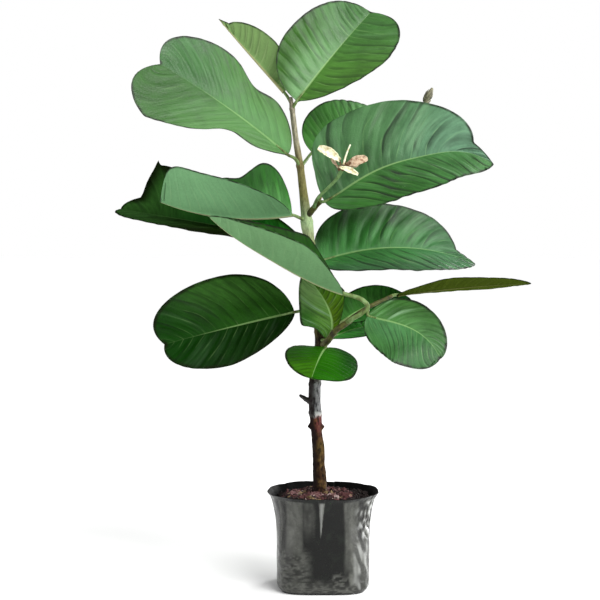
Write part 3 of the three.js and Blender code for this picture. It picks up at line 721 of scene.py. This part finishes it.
# ---------- leaves
def side_width(x, half):
    """Half width at x along the midrib, as a part of the half's greatest width."""
    at, drip = half["at"], half.get("drip", 0)
    last = 1 - drip
    z = np.clip(x, 0, last)
    far = np.where(z < at, (at - z) / at, (z - at) / (last - at))
    power = np.where(z < at, half["foot"], half["end"])
    w = np.maximum(0, 1 - far**power) ** (1 / power)
    if drip > 0:
        drawn = np.clip((1 - x) / drip, 0, 1) ** half.get("drip_bend", 1)
        w = np.where(x > 0.5, np.maximum(w, half.get("drip_wide", DRIP_WIDTH) * drawn), w)
    depth, place, spread = half.get("waist", (0, 0, 1))
    high, top, reach = half.get("horn", (0, 0, 1))
    w = w * (1 - depth * bell(x - place, spread))
    return w + high * np.clip(1 - np.abs(x - top) / reach, 0, 1) ** 2


def half_point(leaf, half, sign, s, out):
    """The middle surface of one half at s along the midrib and out from it, both 0 to 1."""
    base, chord = np.array(leaf["base"], float), np.subtract(leaf["tip"], leaf["base"])
    along = unit(chord)
    up = np.array(leaf["face"], float)
    up = unit(up - up.dot(along) * along)
    across = np.cross(along, up)

    edge = s + LEAD * 4 * s * (1 - s)
    width = side_width(edge, half)
    past = np.where(edge > half["at"], half.get("notch", 0) * 4 * width * (1 - width), 0)
    back = half.get("lobe", 0) * width * (1 - s) ** LOBE_POWER
    x = s + (edge - s) * out**VEIN_CURVE + (past - back) * out
    y = half["wide"] * width * out

    peak = math.log(0.5) / math.log(leaf.get("peak", 0.5))
    flat = leaf.get("flat", 2)
    q = np.maximum(x, 0) ** peak
    off = np.abs(1 - 2 * q)
    lift = 1 - off**flat
    slope = 2 * flat * off ** (flat - 1) * np.sign(1 - 2 * q) * peak * np.maximum(x, 0.03) ** (peak - 1)
    bend = up * leaf["arch"] + across * leaf.get("bow", 0)
    middle = base + chord * x[..., None] + bend * lift[..., None]
    ahead = unit(chord + bend * slope[..., None])
    high = unit(up - (ahead @ up)[..., None] * ahead)
    aside = np.cross(ahead, high)
    turn = np.radians(leaf.get("twist", 0) * x)[..., None]
    aside, high = aside * np.cos(turn) + high * np.sin(turn), high * np.cos(turn) - aside * np.sin(turn)
    fold = math.radians(half["fold"])
    curl = math.radians(half.get("curl", 0)) / half["wide"]
    if curl:
        cx = (np.sin(fold + curl * y) - math.sin(fold)) / curl
        cy = (math.cos(fold) - np.cos(fold + curl * y)) / curl
    else:
        cx, cy = y * math.cos(fold), y * math.sin(fold)
    return middle + aside * (sign * cx)[..., None] + high * cy[..., None]


def blade_point(leaf, s, t):
    left = half_point(leaf, leaf["left"], -1, s, np.abs(t))
    right = half_point(leaf, leaf["right"], 1, s, np.abs(t))
    return np.where((t < 0)[..., None], left, right)


def grid_normals(points):
    """Unit normals of a grid of points, the way that column cross row points."""
    down = np.gradient(points, axis=0)
    over = np.gradient(points, axis=1)
    return unit(np.cross(over, down))


def closed_sheet(shape, top, bottom, materials=(0, 1), **values):
    """Adds a sheet with a top and a bottom surface, closed round its border."""
    rows, columns = top.shape[:2]
    count = rows * columns
    number = np.arange(count).reshape(rows, columns)
    border = np.concatenate([number[0, :-1], number[:-1, -1], number[-1, :0:-1], number[:0:-1, 0]])
    ahead = np.roll(border, -1)
    rim = np.stack([border, ahead, ahead + count, border + count], -1).tolist()
    upper = grid_faces(rows, columns)
    faces = upper + [[i + count for i in f[::-1]] for f in upper] + rim
    kinds = [materials[0]] * len(upper) + [materials[1]] * (len(upper) + len(rim))
    points = np.concatenate([top.reshape(-1, 3), bottom.reshape(-1, 3)])
    shape.add(points, faces, kinds, **{k: np.tile(np.ravel(v), 2) for k, v in values.items()})


def thin_sheet(shape, middle, thick, material):
    """Adds a closed sheet of one material round a grid of middle points."""
    half = grid_normals(middle) * thick / 2
    closed_sheet(shape, middle + half, middle - half, (material, material))


def blade(shape, leaf, seed):
    """The leaf's blade: quilted between its veins, ribbed below and waved at the margin."""
    rows = {(i + k) / VEINS for i in range(VEINS) for k in ROW_STEPS} - {0}
    rows |= set(END_ROWS) | {1 - k for k in END_ROWS}
    s, t = np.meshgrid(sorted(rows), np.concatenate([-COLUMNS[:0:-1], COLUMNS]), indexing="ij")
    middle = blade_point(leaf, s, t)
    normal = grid_normals(middle)
    out = np.abs(t)
    from_rib = np.linalg.norm(middle - middle[:, len(COLUMNS) - 1 : len(COLUMNS)], axis=-1)
    edges = np.where((t < 0)[..., None], middle[:, :1], middle[:, -1:])
    to_edge = np.linalg.norm(middle - edges, axis=-1)
    to_edge = np.minimum(to_edge, np.linalg.norm(middle - middle[-1:, :], axis=-1))
    panel = np.linalg.norm(np.subtract(leaf["tip"], leaf["base"])) / VEINS

    sweep = np.where(t < 0, leaf["left"].get("sweep", 0), leaf["right"].get("sweep", 0))
    vein = (s - sweep * out) * VEINS
    phase = vein + 0.3 * noise_at(middle, 26, seed + 7)
    off = np.abs(phase - np.round(phase)) * panel
    reach = smooth(0.0, 0.3, out) * (1 - 0.6 * smooth(0.6, 1.0, out))
    reach = reach * smooth(0, 0.1, s) * (1 - 0.8 * smooth(0.85, 1, s))
    uneven = np.clip(1 + 1.5 * noise_at(middle, 30, seed), 0.15, 2.2)
    lean = phase - np.floor(phase)
    soft = smooth(0.02, 0.1, sweep)
    swell = (1 - soft) * np.sin(np.pi * lean**0.7) + soft * (0.5 - 0.5 * np.cos(2 * np.pi * lean))
    quilt = leaf["quilt"] * uneven * (swell - 0.5) * reach
    swing = leaf["wave"] * out**2 * noise_at(middle, 30, seed + 3)
    ripple = 0.35 * out**3 * noise_at(middle, 9, seed + 5)
    gutter = 0.5 * bell(from_rib, 1.6) * (1 - s)
    sunk = 0.25 * bell(off, 0.7) * reach * (1 - soft)

    thick = BLADE_THICK * (1 - 0.4 * smooth(0.85, 1, out)) / 2
    rib_size = 1.5 * (1 - s) ** 0.7 + 0.25
    rib = rib_size * bell(from_rib, 0.9 * rib_size + 0.2) * smooth(0, 0.02, 1 - s)
    ridge = 0.4 * bell(off, 0.6) * smooth(0, 0.1, out) * (1 - smooth(0.6, 0.98, out)) * (1 - soft)
    height = quilt + swing + ripple
    top = middle + normal * (height + thick - gutter - sunk)[..., None]
    bottom = middle + normal * (height - thick - rib - ridge)[..., None]
    closed_sheet(shape, top, bottom, along=s, across=t, out=out, vein=vein, from_rib=from_rib,
                 to_edge=to_edge, panel=np.full_like(s, panel))


def tube(shape, points, radii, rings, sides, material=0, relief=None, blunt=0.5, mark=None):
    """Adds a limb with a rounded end.

    relief(points, u, turn) gives a height above its skin and mark(points) values to keep at each point.
    """
    u = np.linspace(0, 1, rings)
    centre = curve(points, u)
    tangent = unit(curve(points, u + 1e-4) - curve(points, u - 1e-4))
    a = np.array([0.0, 1, 0]) - tangent * tangent[:, 1:2]
    b = np.array([1.0, 0, 0]) - tangent * tangent[:, :1]
    a = unit(np.where(np.linalg.norm(a, axis=1, keepdims=True) < 0.3, b, a))
    b = np.cross(a, tangent)
    radius = np.interp(u * (len(radii) - 1), range(len(radii)), radii)
    turn = turns(sides)
    ways = a[:, None] * np.cos(turn)[None, :, None] + b[:, None] * np.sin(turn)[None, :, None]
    skin = centre[:, None] + ways * radius[:, None, None]
    if relief is not None:
        skin = skin + ways * relief(skin, u[:, None], turn[None])[..., None]
    hub = skin[-1].mean(axis=0)
    dome = [
        hub + (skin[-1] - hub) * math.sqrt(1 - k * k) + tangent[-1] * radius[-1] * k * blunt
        for k in (0.45, 0.75, 0.93)
    ]
    skin = np.concatenate([skin, dome])
    ends = [centre[0], hub + tangent[-1] * radius[-1] * blunt]
    points = np.concatenate([skin.reshape(-1, 3), ends])
    shape.add(points, capped_faces(len(skin), sides), material, **(mark(points) if mark else {}))


def leaf_piece(name, leaf, seed, stalk_material):
    """One leaf: its blade, and its stalk that runs on into the midrib."""
    shape = Shape()
    blade(shape, leaf, seed)
    into = blade_point(leaf, np.array([0.1]), np.array([0.0]))[0]
    points = [*leaf["stalk"], leaf["base"], tuple(into)]
    r = leaf.get("stalk_radius", STALK_RADIUS) * 0.78
    radii = [r * 1.15] + [r] * (len(points) - 3) + [r * 0.9, r * 0.5]
    tube(shape, points, radii, rings=12 * len(points), sides=16, material=2)
    number = name[-2:]
    upper = upper_paint(f"leaf_upper_{number}", leaf)
    under = under_paint(f"leaf_under_{number}", leaf)
    make_piece(f"blade_{number}", shape, [upper, under, stalk_material], "leaf", name)


# ---------- stem and shoots
def bark_relief(points, u, turn):
    """Fissures and flakes on the old foot, ridges on the young stem, rings at the leaf nodes."""
    z = points[..., 2]
    old = 1 - smooth(185, 240, z)
    fissure = noise_at(points * (1, 1, 0.25), 3.2, 1)
    flake = np.abs(noise_at(points * (1, 1, 0.6), 6.0, 2))
    height = old * (0.4 + 0.6 * fissure - 0.7 * flake)
    height += (1 - old) * (0.22 * np.cos(4 * turn) * smooth(230, 280, z) + 0.15 * fissure)
    for node in LEAF_NODES:
        height += 0.45 * bell(z - node, 1.6)
    height += 0.8 * bell(z - GRAFT[0], 1.8) + 0.5 * bell(z - GRAFT[1], 1.6)
    for place, high, spread in KNOBS:
        height += high * bell(np.linalg.norm(points - place, axis=-1), spread)
    return height


def shade_on_left_side(points):
    """Painted shade on the old bark: darker on the left, the side that the tree leans to, and at the
    two lower knobs.
    """
    x, z = points[:, 0], points[:, 2]
    heights = [height for _, height, _ in TRUNK]
    middle = np.interp(z, heights, [x for x, _, _ in TRUNK])
    radius = np.interp(z, heights, [r for _, _, r in TRUNK])
    damp = smooth(0.3, -0.55, (x - middle) / radius + 0.25 * noise_at(points, 7, 8))
    knob = sum(bell(np.linalg.norm(points - at, axis=1), 3.2) for at, _, _ in KNOBS[:2])
    return dict(damp=np.clip(0.9 * damp + 0.6 * knob, 0, 0.95) * (1 - smooth(190, 215, z)))


def stem_piece():
    """The trunk with its broken twig."""
    shape = Shape()
    tube(shape, [(x, 0, z) for x, z, _ in TRUNK], [r for _, _, r in TRUNK], rings=520, sides=56,
         relief=bark_relief, mark=shade_on_left_side)
    tube(shape, BROKEN_TWIG["points"], BROKEN_TWIG["radii"], rings=26, sides=20, material=1,
         relief=lambda p, u, turn: 0.5 * noise_at(p, 2.0, 4) * (0.4 + u), blunt=0.9)
    snag = shoot_paint("snag_wood", (34, 30, 27), (10, 8, 7))
    make_piece("stem", shape, [bark_paint(), snag], "bark", "trunk")


def shoot_pieces():
    """The two short side shoots."""
    brown = shoot_paint("shoot_wood", (78, 80, 26), (38, 33, 12))

    def relief(points, u, turn):
        return 0.25 * noise_at(points, 2.5, 6) + 0.3 * noise_at(points, 7, 7)

    for name in ("side_shoot_upper", "side_shoot_lower"):
        shape = Shape()
        points = SHOOTS[name]["points"]
        tube(shape, points, SHOOTS[name]["radii"], rings=30 * len(points), sides=24, relief=relief)
        make_piece(name.replace("side_shoot", "shoot"), shape, [brown], "shoot", name)


def bud_piece():
    """The thin shoot with its bud, wrapped in three pairs of scales."""
    shape = Shape()
    tube(shape, **SHOOTS["bud_shoot"], rings=120, sides=16)
    base, tip = np.array(BUD["base"], float), np.array(BUD["tip"], float)
    axis = unit(tip - base)

    def furrows(points, u, turn):
        return 0.3 * np.abs(np.sin(1.5 * turn + 3 * u)) * np.sin(np.pi * u)

    tube(shape, [base, base + (tip - base) * 0.45, tip - axis], [1.8, BUD["radius"], 1.2],
         rings=30, sides=20, material=1, relief=furrows)
    side_way = unit(np.cross(axis, (0, 1, 0)))
    front = np.cross(side_way, axis)
    for i in range(BUD_SCALES):
        turn = math.radians(90 * (i % 2) + 180 * (i // 3) + 20 * i)
        way = side_way * math.cos(turn) + front * math.sin(turn)
        across = np.cross(axis, way)
        s, t = np.meshgrid(np.linspace(0.02, 0.98, 14), np.linspace(-1, 1, 9), indexing="ij")
        wide = 2.8 * np.sin(np.pi * s**0.7) * t
        rise = 1.2 + 2.0 * (i // 2) + s * 8.5
        spread = 1.7 + 2.1 * np.sin(np.pi * (0.1 + 0.85 * s)) - 0.13 * wide**2
        middle = base + axis * rise[..., None] + way * spread[..., None] + across * wide[..., None]
        thin_sheet(shape, middle, thick=0.5, material=1)
    wood = shoot_paint("bud_wood", (120, 110, 60), (84, 70, 38))
    scale = shoot_paint("bud_scale", (128, 124, 100), (56, 54, 42))
    make_piece("bud", shape, [wood, scale], "bud", "bud_shoot")


# ---------- flower
def petal(shape, start, end, wide, cup, material, seed, arch):
    """A dry curled petal from start to end, cupped across and bent along."""
    start, end = np.array(start, float), np.array(end, float)
    chord = end - start
    along = unit(chord)
    up = unit(np.cross(np.cross(along, (0, -1, 0.3)), along))
    across = np.cross(along, up)
    s, t = np.meshgrid(np.linspace(0.01, 0.99, 26), np.linspace(-1, 1, 17), indexing="ij")
    width = wide * (0.28 + 0.72 * np.sin(np.pi * s**1.3) ** 0.8)
    angle = t * cup
    flat = width / cup
    middle = start + chord * s[..., None]
    middle = middle + across * (flat * np.sin(angle))[..., None]
    middle = middle + up * (flat * (1 - np.cos(angle)) + arch * np.sin(np.pi * s))[..., None]
    crumple = noise_at(middle, 3.5, seed) * 0.9 + noise_at(middle, 1.6, seed + 1) * 0.3
    normal = grid_normals(middle)
    middle = middle + normal * crumple[..., None]
    closed_sheet(shape, middle + normal * 0.3, middle - normal * 0.3, (material, material))


CREAM, TAN, STALK, BROWN = range(4)  # the flower's materials
# Each petal's start, end, half width, cup in radians, material, seed and arch.
PETALS = [
    ((14.7, -25, 384.5), (-5, -29, 396), 5.6, 1.25, CREAM, 11, 2.5),
    ((13.5, -23, 377.5), (5.3, -24, 388.4), 1.6, 1.0, TAN, 12, 1.0),
    ((19.5, -24, 380), (39, -26, 386.5), 5.2, 1.1, TAN, 13, 2.0),
    ((17, -22, 379), (31, -20, 381), 3.2, 1.0, TAN, 14, 2.0),
    ((13.6, -28, 379), (30.5, -32, 372.2), 3.4, 1.3, CREAM, 15, 1.2),
]
STAMENS = 14


def flower_piece():
    """The dry flower: its stalk, petals, style, heart and stamens."""
    heart = np.array(FLOWER["heart"], float)
    shape = Shape()
    tube(shape, FLOWER["stalk"], FLOWER["radii"], rings=90, sides=18, material=STALK)
    for row in PETALS:
        petal(shape, *row)
    tube(shape, [(17.4, -27, 381), (20, -29, 390), (23.3, -31, 398.3)], [1.0, 0.8, 0.6],
         rings=24, sides=12, material=CREAM)
    tube(shape, [heart + (-3, 1, -2), heart, heart + (3, -1, 2)], [1.9, 2.9, 1.8],
         rings=26, sides=22, material=BROWN, relief=lambda p, u, turn: 0.6 * noise_at(p, 2.2, 16))
    for i in range(STAMENS):
        turn = i * 2.4
        reach = 4.2 + 2.0 * math.sin(i * 1.7)
        front = -4 - 1.5 * math.sin(i * 2.1)
        end = heart + (2 + reach * math.cos(turn), front, 3 + reach * math.sin(turn))
        path = [heart, (heart + end) / 2 + (0, -1.2, 0.6), end]
        tube(shape, path, [0.45, 0.35, 0.5], rings=8, sides=6, material=BROWN)
    paints = [
        petal_paint("petal_cream", (239, 240, 208), (196, 180, 140)),
        petal_paint("petal_tan", (204, 182, 154), (140, 100, 78)),
        shoot_paint("flower_stalk", (108, 144, 86), (72, 96, 48)),
        petal_paint("flower_heart", (118, 84, 54), (66, 42, 28)),
    ]
    make_piece("flower_dry", shape, paints, "flower", "flower")


# ---------- bag and soil
BAG_SIDES = 420
CRINKLE = 3.6  # size of the crinkles
# The outer wall's radius and height, from the foot to the lip.
BAG_WALL = [
    (BAG["foot"], 0), (BAG["foot"] + 2.5, 4), (BAG["belly"] - 0.5, 22),
    (BAG["belly"], BAG["height"] * 0.5), (BAG["belly"] + 1.5, BAG["height"] * 0.72),
    (BAG["neck"], BAG["height"] * 0.9), (BAG["neck"] + 1.6, BAG["height"] * 0.96),
    (BAG["lip"], BAG["height"]),
]


def wall_curve(rings, low=0.0):
    """(radius, height) of the bag's wall from low, a part of its length, up to the lip."""
    points = [(r, 0, z) for r, z in BAG_WALL]
    return curve(points, np.linspace(low, 1, rings))[:, (0, 2)]


def squared(turn, z):
    """Factor that makes the round bag square towards its base."""
    k = np.minimum(1, z / (BAG["height"] * 0.7))
    power = BAG["square"] + (BAG["round"] - BAG["square"]) * k
    return (np.abs(np.cos(turn)) ** power + np.abs(np.sin(turn)) ** power) ** (-1 / power)


def ridged(points, size, seed):
    """Sharp creases: 1 on a crease line, falling to both sides."""
    return 1 - np.abs(noise_at(points, size, seed)) * 2.2


def gusset(arc, up):
    """0 in the middle and 1 at the edge of the pointed fold at the front, which widens to the rim."""
    rise = (up - 0.57) / 0.43
    return np.abs(arc + 2.4 - 1.1 * rise) / np.maximum(2.5 * rise, 1e-3)


def around_bag(turn, z):
    """Angle from the front, part of the height, and place on a plain drum as wide as the bag."""
    around = (turn + np.pi / 2 + np.pi) % (2 * np.pi) - np.pi
    return around, z / BAG["height"], around_z(turn, BAG["belly"], z)


def crinkled(around, up):
    """Where the film is finely crinkled: the right side's upper part, and weaker below."""
    return bell(around - 1.1, 0.28) * (0.35 + 0.65 * smooth(0.45, 0.6, up))


def crinkles(place):
    return noise_at(place * (1, 1, 0.7), CRINKLE, 24)


def film_tone(turn, grid):
    """Painted sheen, partly dust, in upright bands and near the base, and painted glints, partly
    stress-whitening, on the creases, each from 0 to 1.
    """
    around, up, place = around_bag(turn, grid[..., 2])
    x = np.where(grid[..., 1] < 0, grid[..., 0], -grid[..., 0])  # the back is like the front
    x = x + 1.6 * noise_at(grid * (1, 1, 0.35), 14, 56)

    def strip(low, high, soft=1.8):
        return smooth(low - soft, low + soft, x) * (1 - smooth(high - soft, high + soft, x))

    def above(low, high):
        return smooth(low, high, up)

    def below(low, high, uneven=0):
        return 1 - smooth(low, high, up + uneven * (blotch - 0.5))

    streak = np.clip(0.6 + 0.9 * noise_at(grid * (1, 1, 0.1), 3.5, 51), 0, 1)
    blotch = np.clip(0.7 + 0.9 * noise_at(grid * (1, 1, 0.5), 9, 52), 0, 1)
    crumple = smooth(0.1, 1.0, ridged(grid * (0.45, 0.45, 1.9) + (0, 0, 0.25) * grid[..., :1], 4.2, 53))
    wrinkle = smooth(0.2, 1.0, ridged(grid * (0.5, 0.5, 1.6), 3.4, 54))
    facet = smooth(-0.1, 0.3, noise_at(grid * (1, 1, 0.6) + (0, 0, 0.7) * grid[..., :1], 8, 57))
    crease = crinkles(place)
    fine = crinkled(around, up) * above(0.5, 0.6)
    tuck = gusset(around * BAG["belly"], up)
    # painted sheen, partly dust, in these bands and patches
    parts = [  # upright bands, the crumpled sides and base, the crinkles and the fold in front
        strip(-33, -18.5) * above(0.34, 0.5) * (0.65 + 0.35 * streak),
        0.62 * strip(-18.5, -8) * above(0.5, 0.75) * streak,
        strip(18.8, 31.5) * above(0.16, 0.34) * (0.4 + 0.6 * streak) * (0.45 + 0.55 * blotch),
        0.8 * strip(-40, -35) * streak,
        strip(-42, -14, 6) * below(0.36, 0.54) * (0.2 + 0.65 * crumple),
        strip(-40, 30) * below(0.08, 0.2, 0.05) * (0.3 + 0.6 * wrinkle),
        strip(8, 30) * below(0.16, 0.26, 0.1) * smooth(0.2, 0.7, wrinkle),
        strip(23, 46) * below(0.5, 0.62) * (0.35 + 0.65 * facet),
        0.9 * fine * smooth(-0.25, 0.1, crease),
        smooth(1.15, 0.85, tuck),
    ]
    dust = np.maximum.reduce(parts) * below(0.955, 0.975) * above(0.012, 0.035)
    # painted glints, partly stress-whitening, on the crinkles, the facets low on the right and the fold
    # in front
    stress = np.maximum.reduce([
        0.85 * fine * smooth(0.12, 0.5, crease),
        0.45 * strip(27, 40) * below(0.45, 0.55) * facet * streak,
        0.25 * smooth(0.9, 0.2, tuck),
    ])
    return dict(dust=dust, stress=stress * below(0.95, 0.98))


def film_relief(turn, z):
    """How far the film stands out: gathers under the lip, tucks, the fold in front, creases."""
    around, up, place = around_bag(turn, z)
    arc = around * BAG["belly"]
    height = 1.1 * noise_at(place * (1, 1, 0.22), 17, 21) * smooth(0.05, 0.4, up)
    height += 0.6 * noise_at(place * (1, 1, 0.35), 8, 22) * smooth(0.75, 1.0, up)
    tuck = 3.8 * smooth(0.5, 1.0, up) + 0.1
    for start, way in ((2.2, -1), (-2.3, 1), (3.0, 1)):  # where a tuck is and which way it lies
        x = way * (arc - start * BAG["belly"]) / tuck
        inside = (np.abs(x) < 1) & (up > 0.5)
        height -= np.where(inside, 1.25 * smooth(0.5, 0.62, up) * (1 - x), 0)
    height += 1.0 * smooth(1.15, 0.85, gusset(arc, up))
    left = bell(around + 0.75, 0.5) * bell(up - 0.24, 0.17)
    rear = 0.7 * smooth(1.6, 2.2, np.abs(around)) * (0.6 + 0.4 * noise_at(place, 30, 27))
    low = (1 - smooth(0.08, 0.2, up)) * smooth(0, 0.03, up)
    height += 0.8 * left * ridged(place * (0.45, 0.45, 1.3), 7, 23)
    height += crinkled(around, up) * (1.1 * crinkles(place) + 0.9 * ridged(place, 10, 28))
    height += 0.8 * rear * ridged(place * (0.8, 0.8, 1), 11, 25)
    height += 0.6 * low * ridged(place, 8, 26)
    return height * smooth(0, 0.04, up)


def bag_piece():
    """The film bag: outer wall, rolled rim, inner wall and both sides of its floor."""
    wall = BAG["wall"]
    outer, inner = wall_curve(112), wall_curve(40, 0.02)[::-1]
    floor = [BAG["foot"] * k for k in (0.3, 0.6, 0.85, 0.96)]
    rows = [(r, 0.0, 0.0) for r in floor] + [(r, z, 0.0) for r, z in outer]
    lining = (len(rows) - 1) * BAG_SIDES  # number of the inner side's first face
    rows += [(r, z + 0.25, -wall / 2) for r, z in outer[-1:]]
    rows += [(r, max(z, wall), -wall) for r, z in inner]
    rows += [(r, wall, -wall) for r in floor[::-1]]
    profile = np.array(rows)
    angle, z = lathe(profile, BAG_SIDES)
    radius = profile[:, :1] * squared(angle, z) + profile[:, 2:] + film_relief(angle, z)
    rim = smooth(0.88, 1.0, z / BAG["height"])
    z = z + rim * (0.5 * np.sin(3 * angle + 0.6) + 0.3 * np.sin(7 * angle))
    grid = around_z(angle, radius, z)
    points = np.concatenate([grid.reshape(-1, 3), [(0, 0, 0), (0, 0, wall)]])
    tone = {key: np.append(values, (0, 0)) for key, values in film_tone(angle, grid).items()}
    faces = capped_faces(len(profile), BAG_SIDES)
    shape = Shape()
    shape.add(points, faces, [0] * lining + [1] * (len(faces) - lining), **tone)
    make_piece("bag_film", shape, [film_paint(), lining_paint()], "bag", "grow_bag")


SOIL_SIDES = 200
SOIL_FLOOR = 1.0  # height of the soil's underside
UNSHADED_MIDDLE = (-3.0, 0.0)  # painted shade: the soil and its grains are darker further out than the reach below from here
UNSHADED_REACH = 32
GRAINS = [(46, 28, 28), (78, 46, 46), (106, 74, 74), (116, 98, 68), (156, 136, 132)]
GRAIN_SHARES = [0.28, 0.32, 0.22, 0.12, 0.06]
GRAIN_COUNT = 1500
# painted shade colour of the grains near the bag's wall
SHADED_GRAIN = (26, 17, 16)
SOIL_TOP = [(0, SOIL["crown"]), (SOIL["crown_radius"], SOIL["crown"]),
            (SOIL["crown_radius"] + 8, SOIL["crown"] - 1.2), (BAG["neck"] - 6, SOIL["edge"] + 0.8),
            (BAG["neck"] - 2, BAG["height"] * 0.9)]


def soil_height(radius):
    return np.interp(radius, [r for r, _ in SOIL_TOP], [z for _, z in SOIL_TOP])


def soil_piece():
    """The soil: a lumpy top over a plain body inside the bag."""
    body = [(r - 2.2, z) for r, z in BAG_WALL if z < SOIL["edge"] - 1]
    body[0] = (body[0][0], SOIL_FLOOR)
    rows = [(r, z, 0.0) for r, z in body]
    rows += [(r, float(soil_height(r)), 1.0) for r in np.linspace(BAG["neck"] - 2, 0.5, 70)]
    profile = np.array(rows)
    angle, z = lathe(profile, SOIL_SIDES)
    top = around_z(angle, profile[:, :1] * squared(angle, z), z)
    lumps = 0.9 * noise_at(top, 5, 31) + 0.5 * noise_at(top, 2.2, 32) + 0.7 * noise_at(top, 13, 33)
    top[..., 2] += lumps * profile[:, 2:]
    points = np.concatenate([top.reshape(-1, 3), [(0, 0, SOIL_FLOOR), (0, 0, SOIL["crown"])]])
    far = np.linalg.norm(top[..., :2] - UNSHADED_MIDDLE, axis=-1).mean(axis=1)
    faces = capped_faces(len(profile), SOIL_SIDES)
    # painted shade on the soil's rows far out, near the bag's wall
    shaded_rows = np.repeat(far > UNSHADED_REACH, SOIL_SIDES).astype(int).tolist()
    shape = Shape()
    shape.add(points, faces, shaded_rows + [0] * (len(faces) - len(shaded_rows)))
    paints = [grain_paint("soil_ground", (62, 34, 34)), grain_paint("soil_painted_shade", (22, 15, 14))]
    make_piece("soil_body", shape, paints, "soil", "soil")


def crumb_piece():
    """Loose grains on the soil, each kind with its own plain colour, and a painted shade colour on
    those near the wall.
    """
    random = np.random.default_rng(41)
    ball = bmesh.new()
    bmesh.ops.create_icosphere(ball, subdivisions=2, radius=1.0)
    ball_points = np.array([v.co[:] for v in ball.verts])
    ball_faces = [[v.index for v in f.verts] for f in ball.faces]
    ball.free()
    shape = Shape()
    reach = BAG["neck"] - 3.5
    for _ in range(GRAIN_COUNT):
        radius = reach * math.sqrt(random.uniform(0.01, 1))
        turn = random.uniform(0, 2 * math.pi)
        size = 0.7 + 2.1 * random.uniform() ** 3
        stretch = random.uniform(0.5, 1.5, 3)
        lumpy = ball_points * (1 + 0.26 * random.standard_normal((len(ball_points), 1)))
        spin = np.linalg.qr(random.standard_normal((3, 3)))[0]
        centre = (radius * math.cos(turn), radius * math.sin(turn),
                  float(soil_height(radius)) + random.uniform(-0.3, 0.9))
        kind = int(random.choice(len(GRAINS), p=GRAIN_SHARES))
        # painted shade: grains far out get the dark shaded colour
        if math.dist(centre[:2], UNSHADED_MIDDLE) > UNSHADED_REACH + random.normal(0, 1.5):
            kind = len(GRAINS)
        shape.add(lumpy * stretch * size @ spin + centre, ball_faces, kind)
    paints = [grain_paint(f"soil_grain_{i}", c) for i, c in enumerate([*GRAINS, SHADED_GRAIN])]
    make_piece("soil_crumbs", shape, paints, "soil", flat=True)


# ---------- studio
# Lengths from here on are in metres.
CAMERA = dict(place=(-0.0207, -1.49704, 0.3542), down=3.6, lens=100, sensor=36)
SUN = dict(way=Vector((-0.55, 0.75, -0.85)), power=3.2, spread=38)
# Azimuth right of the camera's side, distance, height, width, height of the panel and power.
SOFTBOXES = {
    "left": (-78, 1.3, 0.35, 1.0, 0.9, 6),
    "right": (82, 1.3, 0.4, 0.9, 1.0, 16),
    "rim": (140, 1.4, 0.5, 0.5, 1.0, 18),
}
LIT_PLACE = Vector((0, 0, 0.25))  # where the softboxes are turned to
AMBIENT = 0.42  # the backdrop's light on the plant, which the camera sees as 1
FLOOR_HALF = 8.0


def softbox(name, azimuth, distance, height, width, tall, power):
    """An area light turned to the plant."""
    data = bpy.data.lights.new(name, "AREA")
    data.shape = "RECTANGLE"
    data.size, data.size_y, data.energy = width, tall, power
    light = add_object(name, data)
    turn = math.radians(azimuth)
    light.location = (distance * math.sin(turn), -distance * math.cos(turn), height)
    way = LIT_PLACE - light.location
    light.rotation_euler = way.to_track_quat("-Z", "Y").to_euler()
    light.visible_camera = False


def studio():
    """Camera, lights, white backdrop and floor."""
    scene = bpy.context.scene
    camera_data = bpy.data.cameras.new("camera")
    camera_data.lens, camera_data.sensor_width = CAMERA["lens"], CAMERA["sensor"]
    camera = add_object("camera", camera_data)
    camera.location = CAMERA["place"]
    camera.rotation_euler = (math.radians(90 - CAMERA["down"]), 0, 0)
    scene.camera = camera

    sun_data = bpy.data.lights.new("key", "SUN")
    sun_data.energy, sun_data.angle = SUN["power"], math.radians(SUN["spread"])
    add_object("key", sun_data).rotation_euler = SUN["way"].to_track_quat("-Z", "Y").to_euler()
    for name, sizes in SOFTBOXES.items():
        softbox(name, *sizes)

    world = bpy.data.worlds.new("studio")
    world.use_nodes = True
    nodes, links = world.node_tree.nodes, world.node_tree.links
    path = nodes.new("ShaderNodeLightPath")
    strength = nodes.new("ShaderNodeMapRange")
    strength.inputs["To Min"].default_value = AMBIENT
    links.new(path.outputs["Is Camera Ray"], strength.inputs["Value"])
    links.new(strength.outputs[0], nodes["Background"].inputs["Strength"])
    nodes["Background"].inputs["Color"].default_value = (1, 1, 1, 1)
    scene.world = world
    scene.view_settings.view_transform = "Standard"

    mesh = bpy.data.meshes.new("floor")
    corners = [(x * FLOOR_HALF, y * FLOOR_HALF, 0) for x, y in ((-1, -1), (1, -1), (1, 1), (-1, 1))]
    mesh.from_pydata(corners, [], [(0, 1, 2, 3)])
    mesh.materials.append(Paint("floor_white", 0.9, 0.1).finish((0.93, 0.93, 0.93, 1)))
    floor = add_object("floor", mesh)


# ---------- the plant
studio()
stalk_material = stalk_paint()
for seed, (name, leaf) in enumerate(LEAVES.items()):
    leaf_piece(name, leaf, seed + 1, stalk_material)
stem_piece()
shoot_pieces()
bud_piece()
flower_piece()
bag_piece()
soil_piece()
crumb_piece()
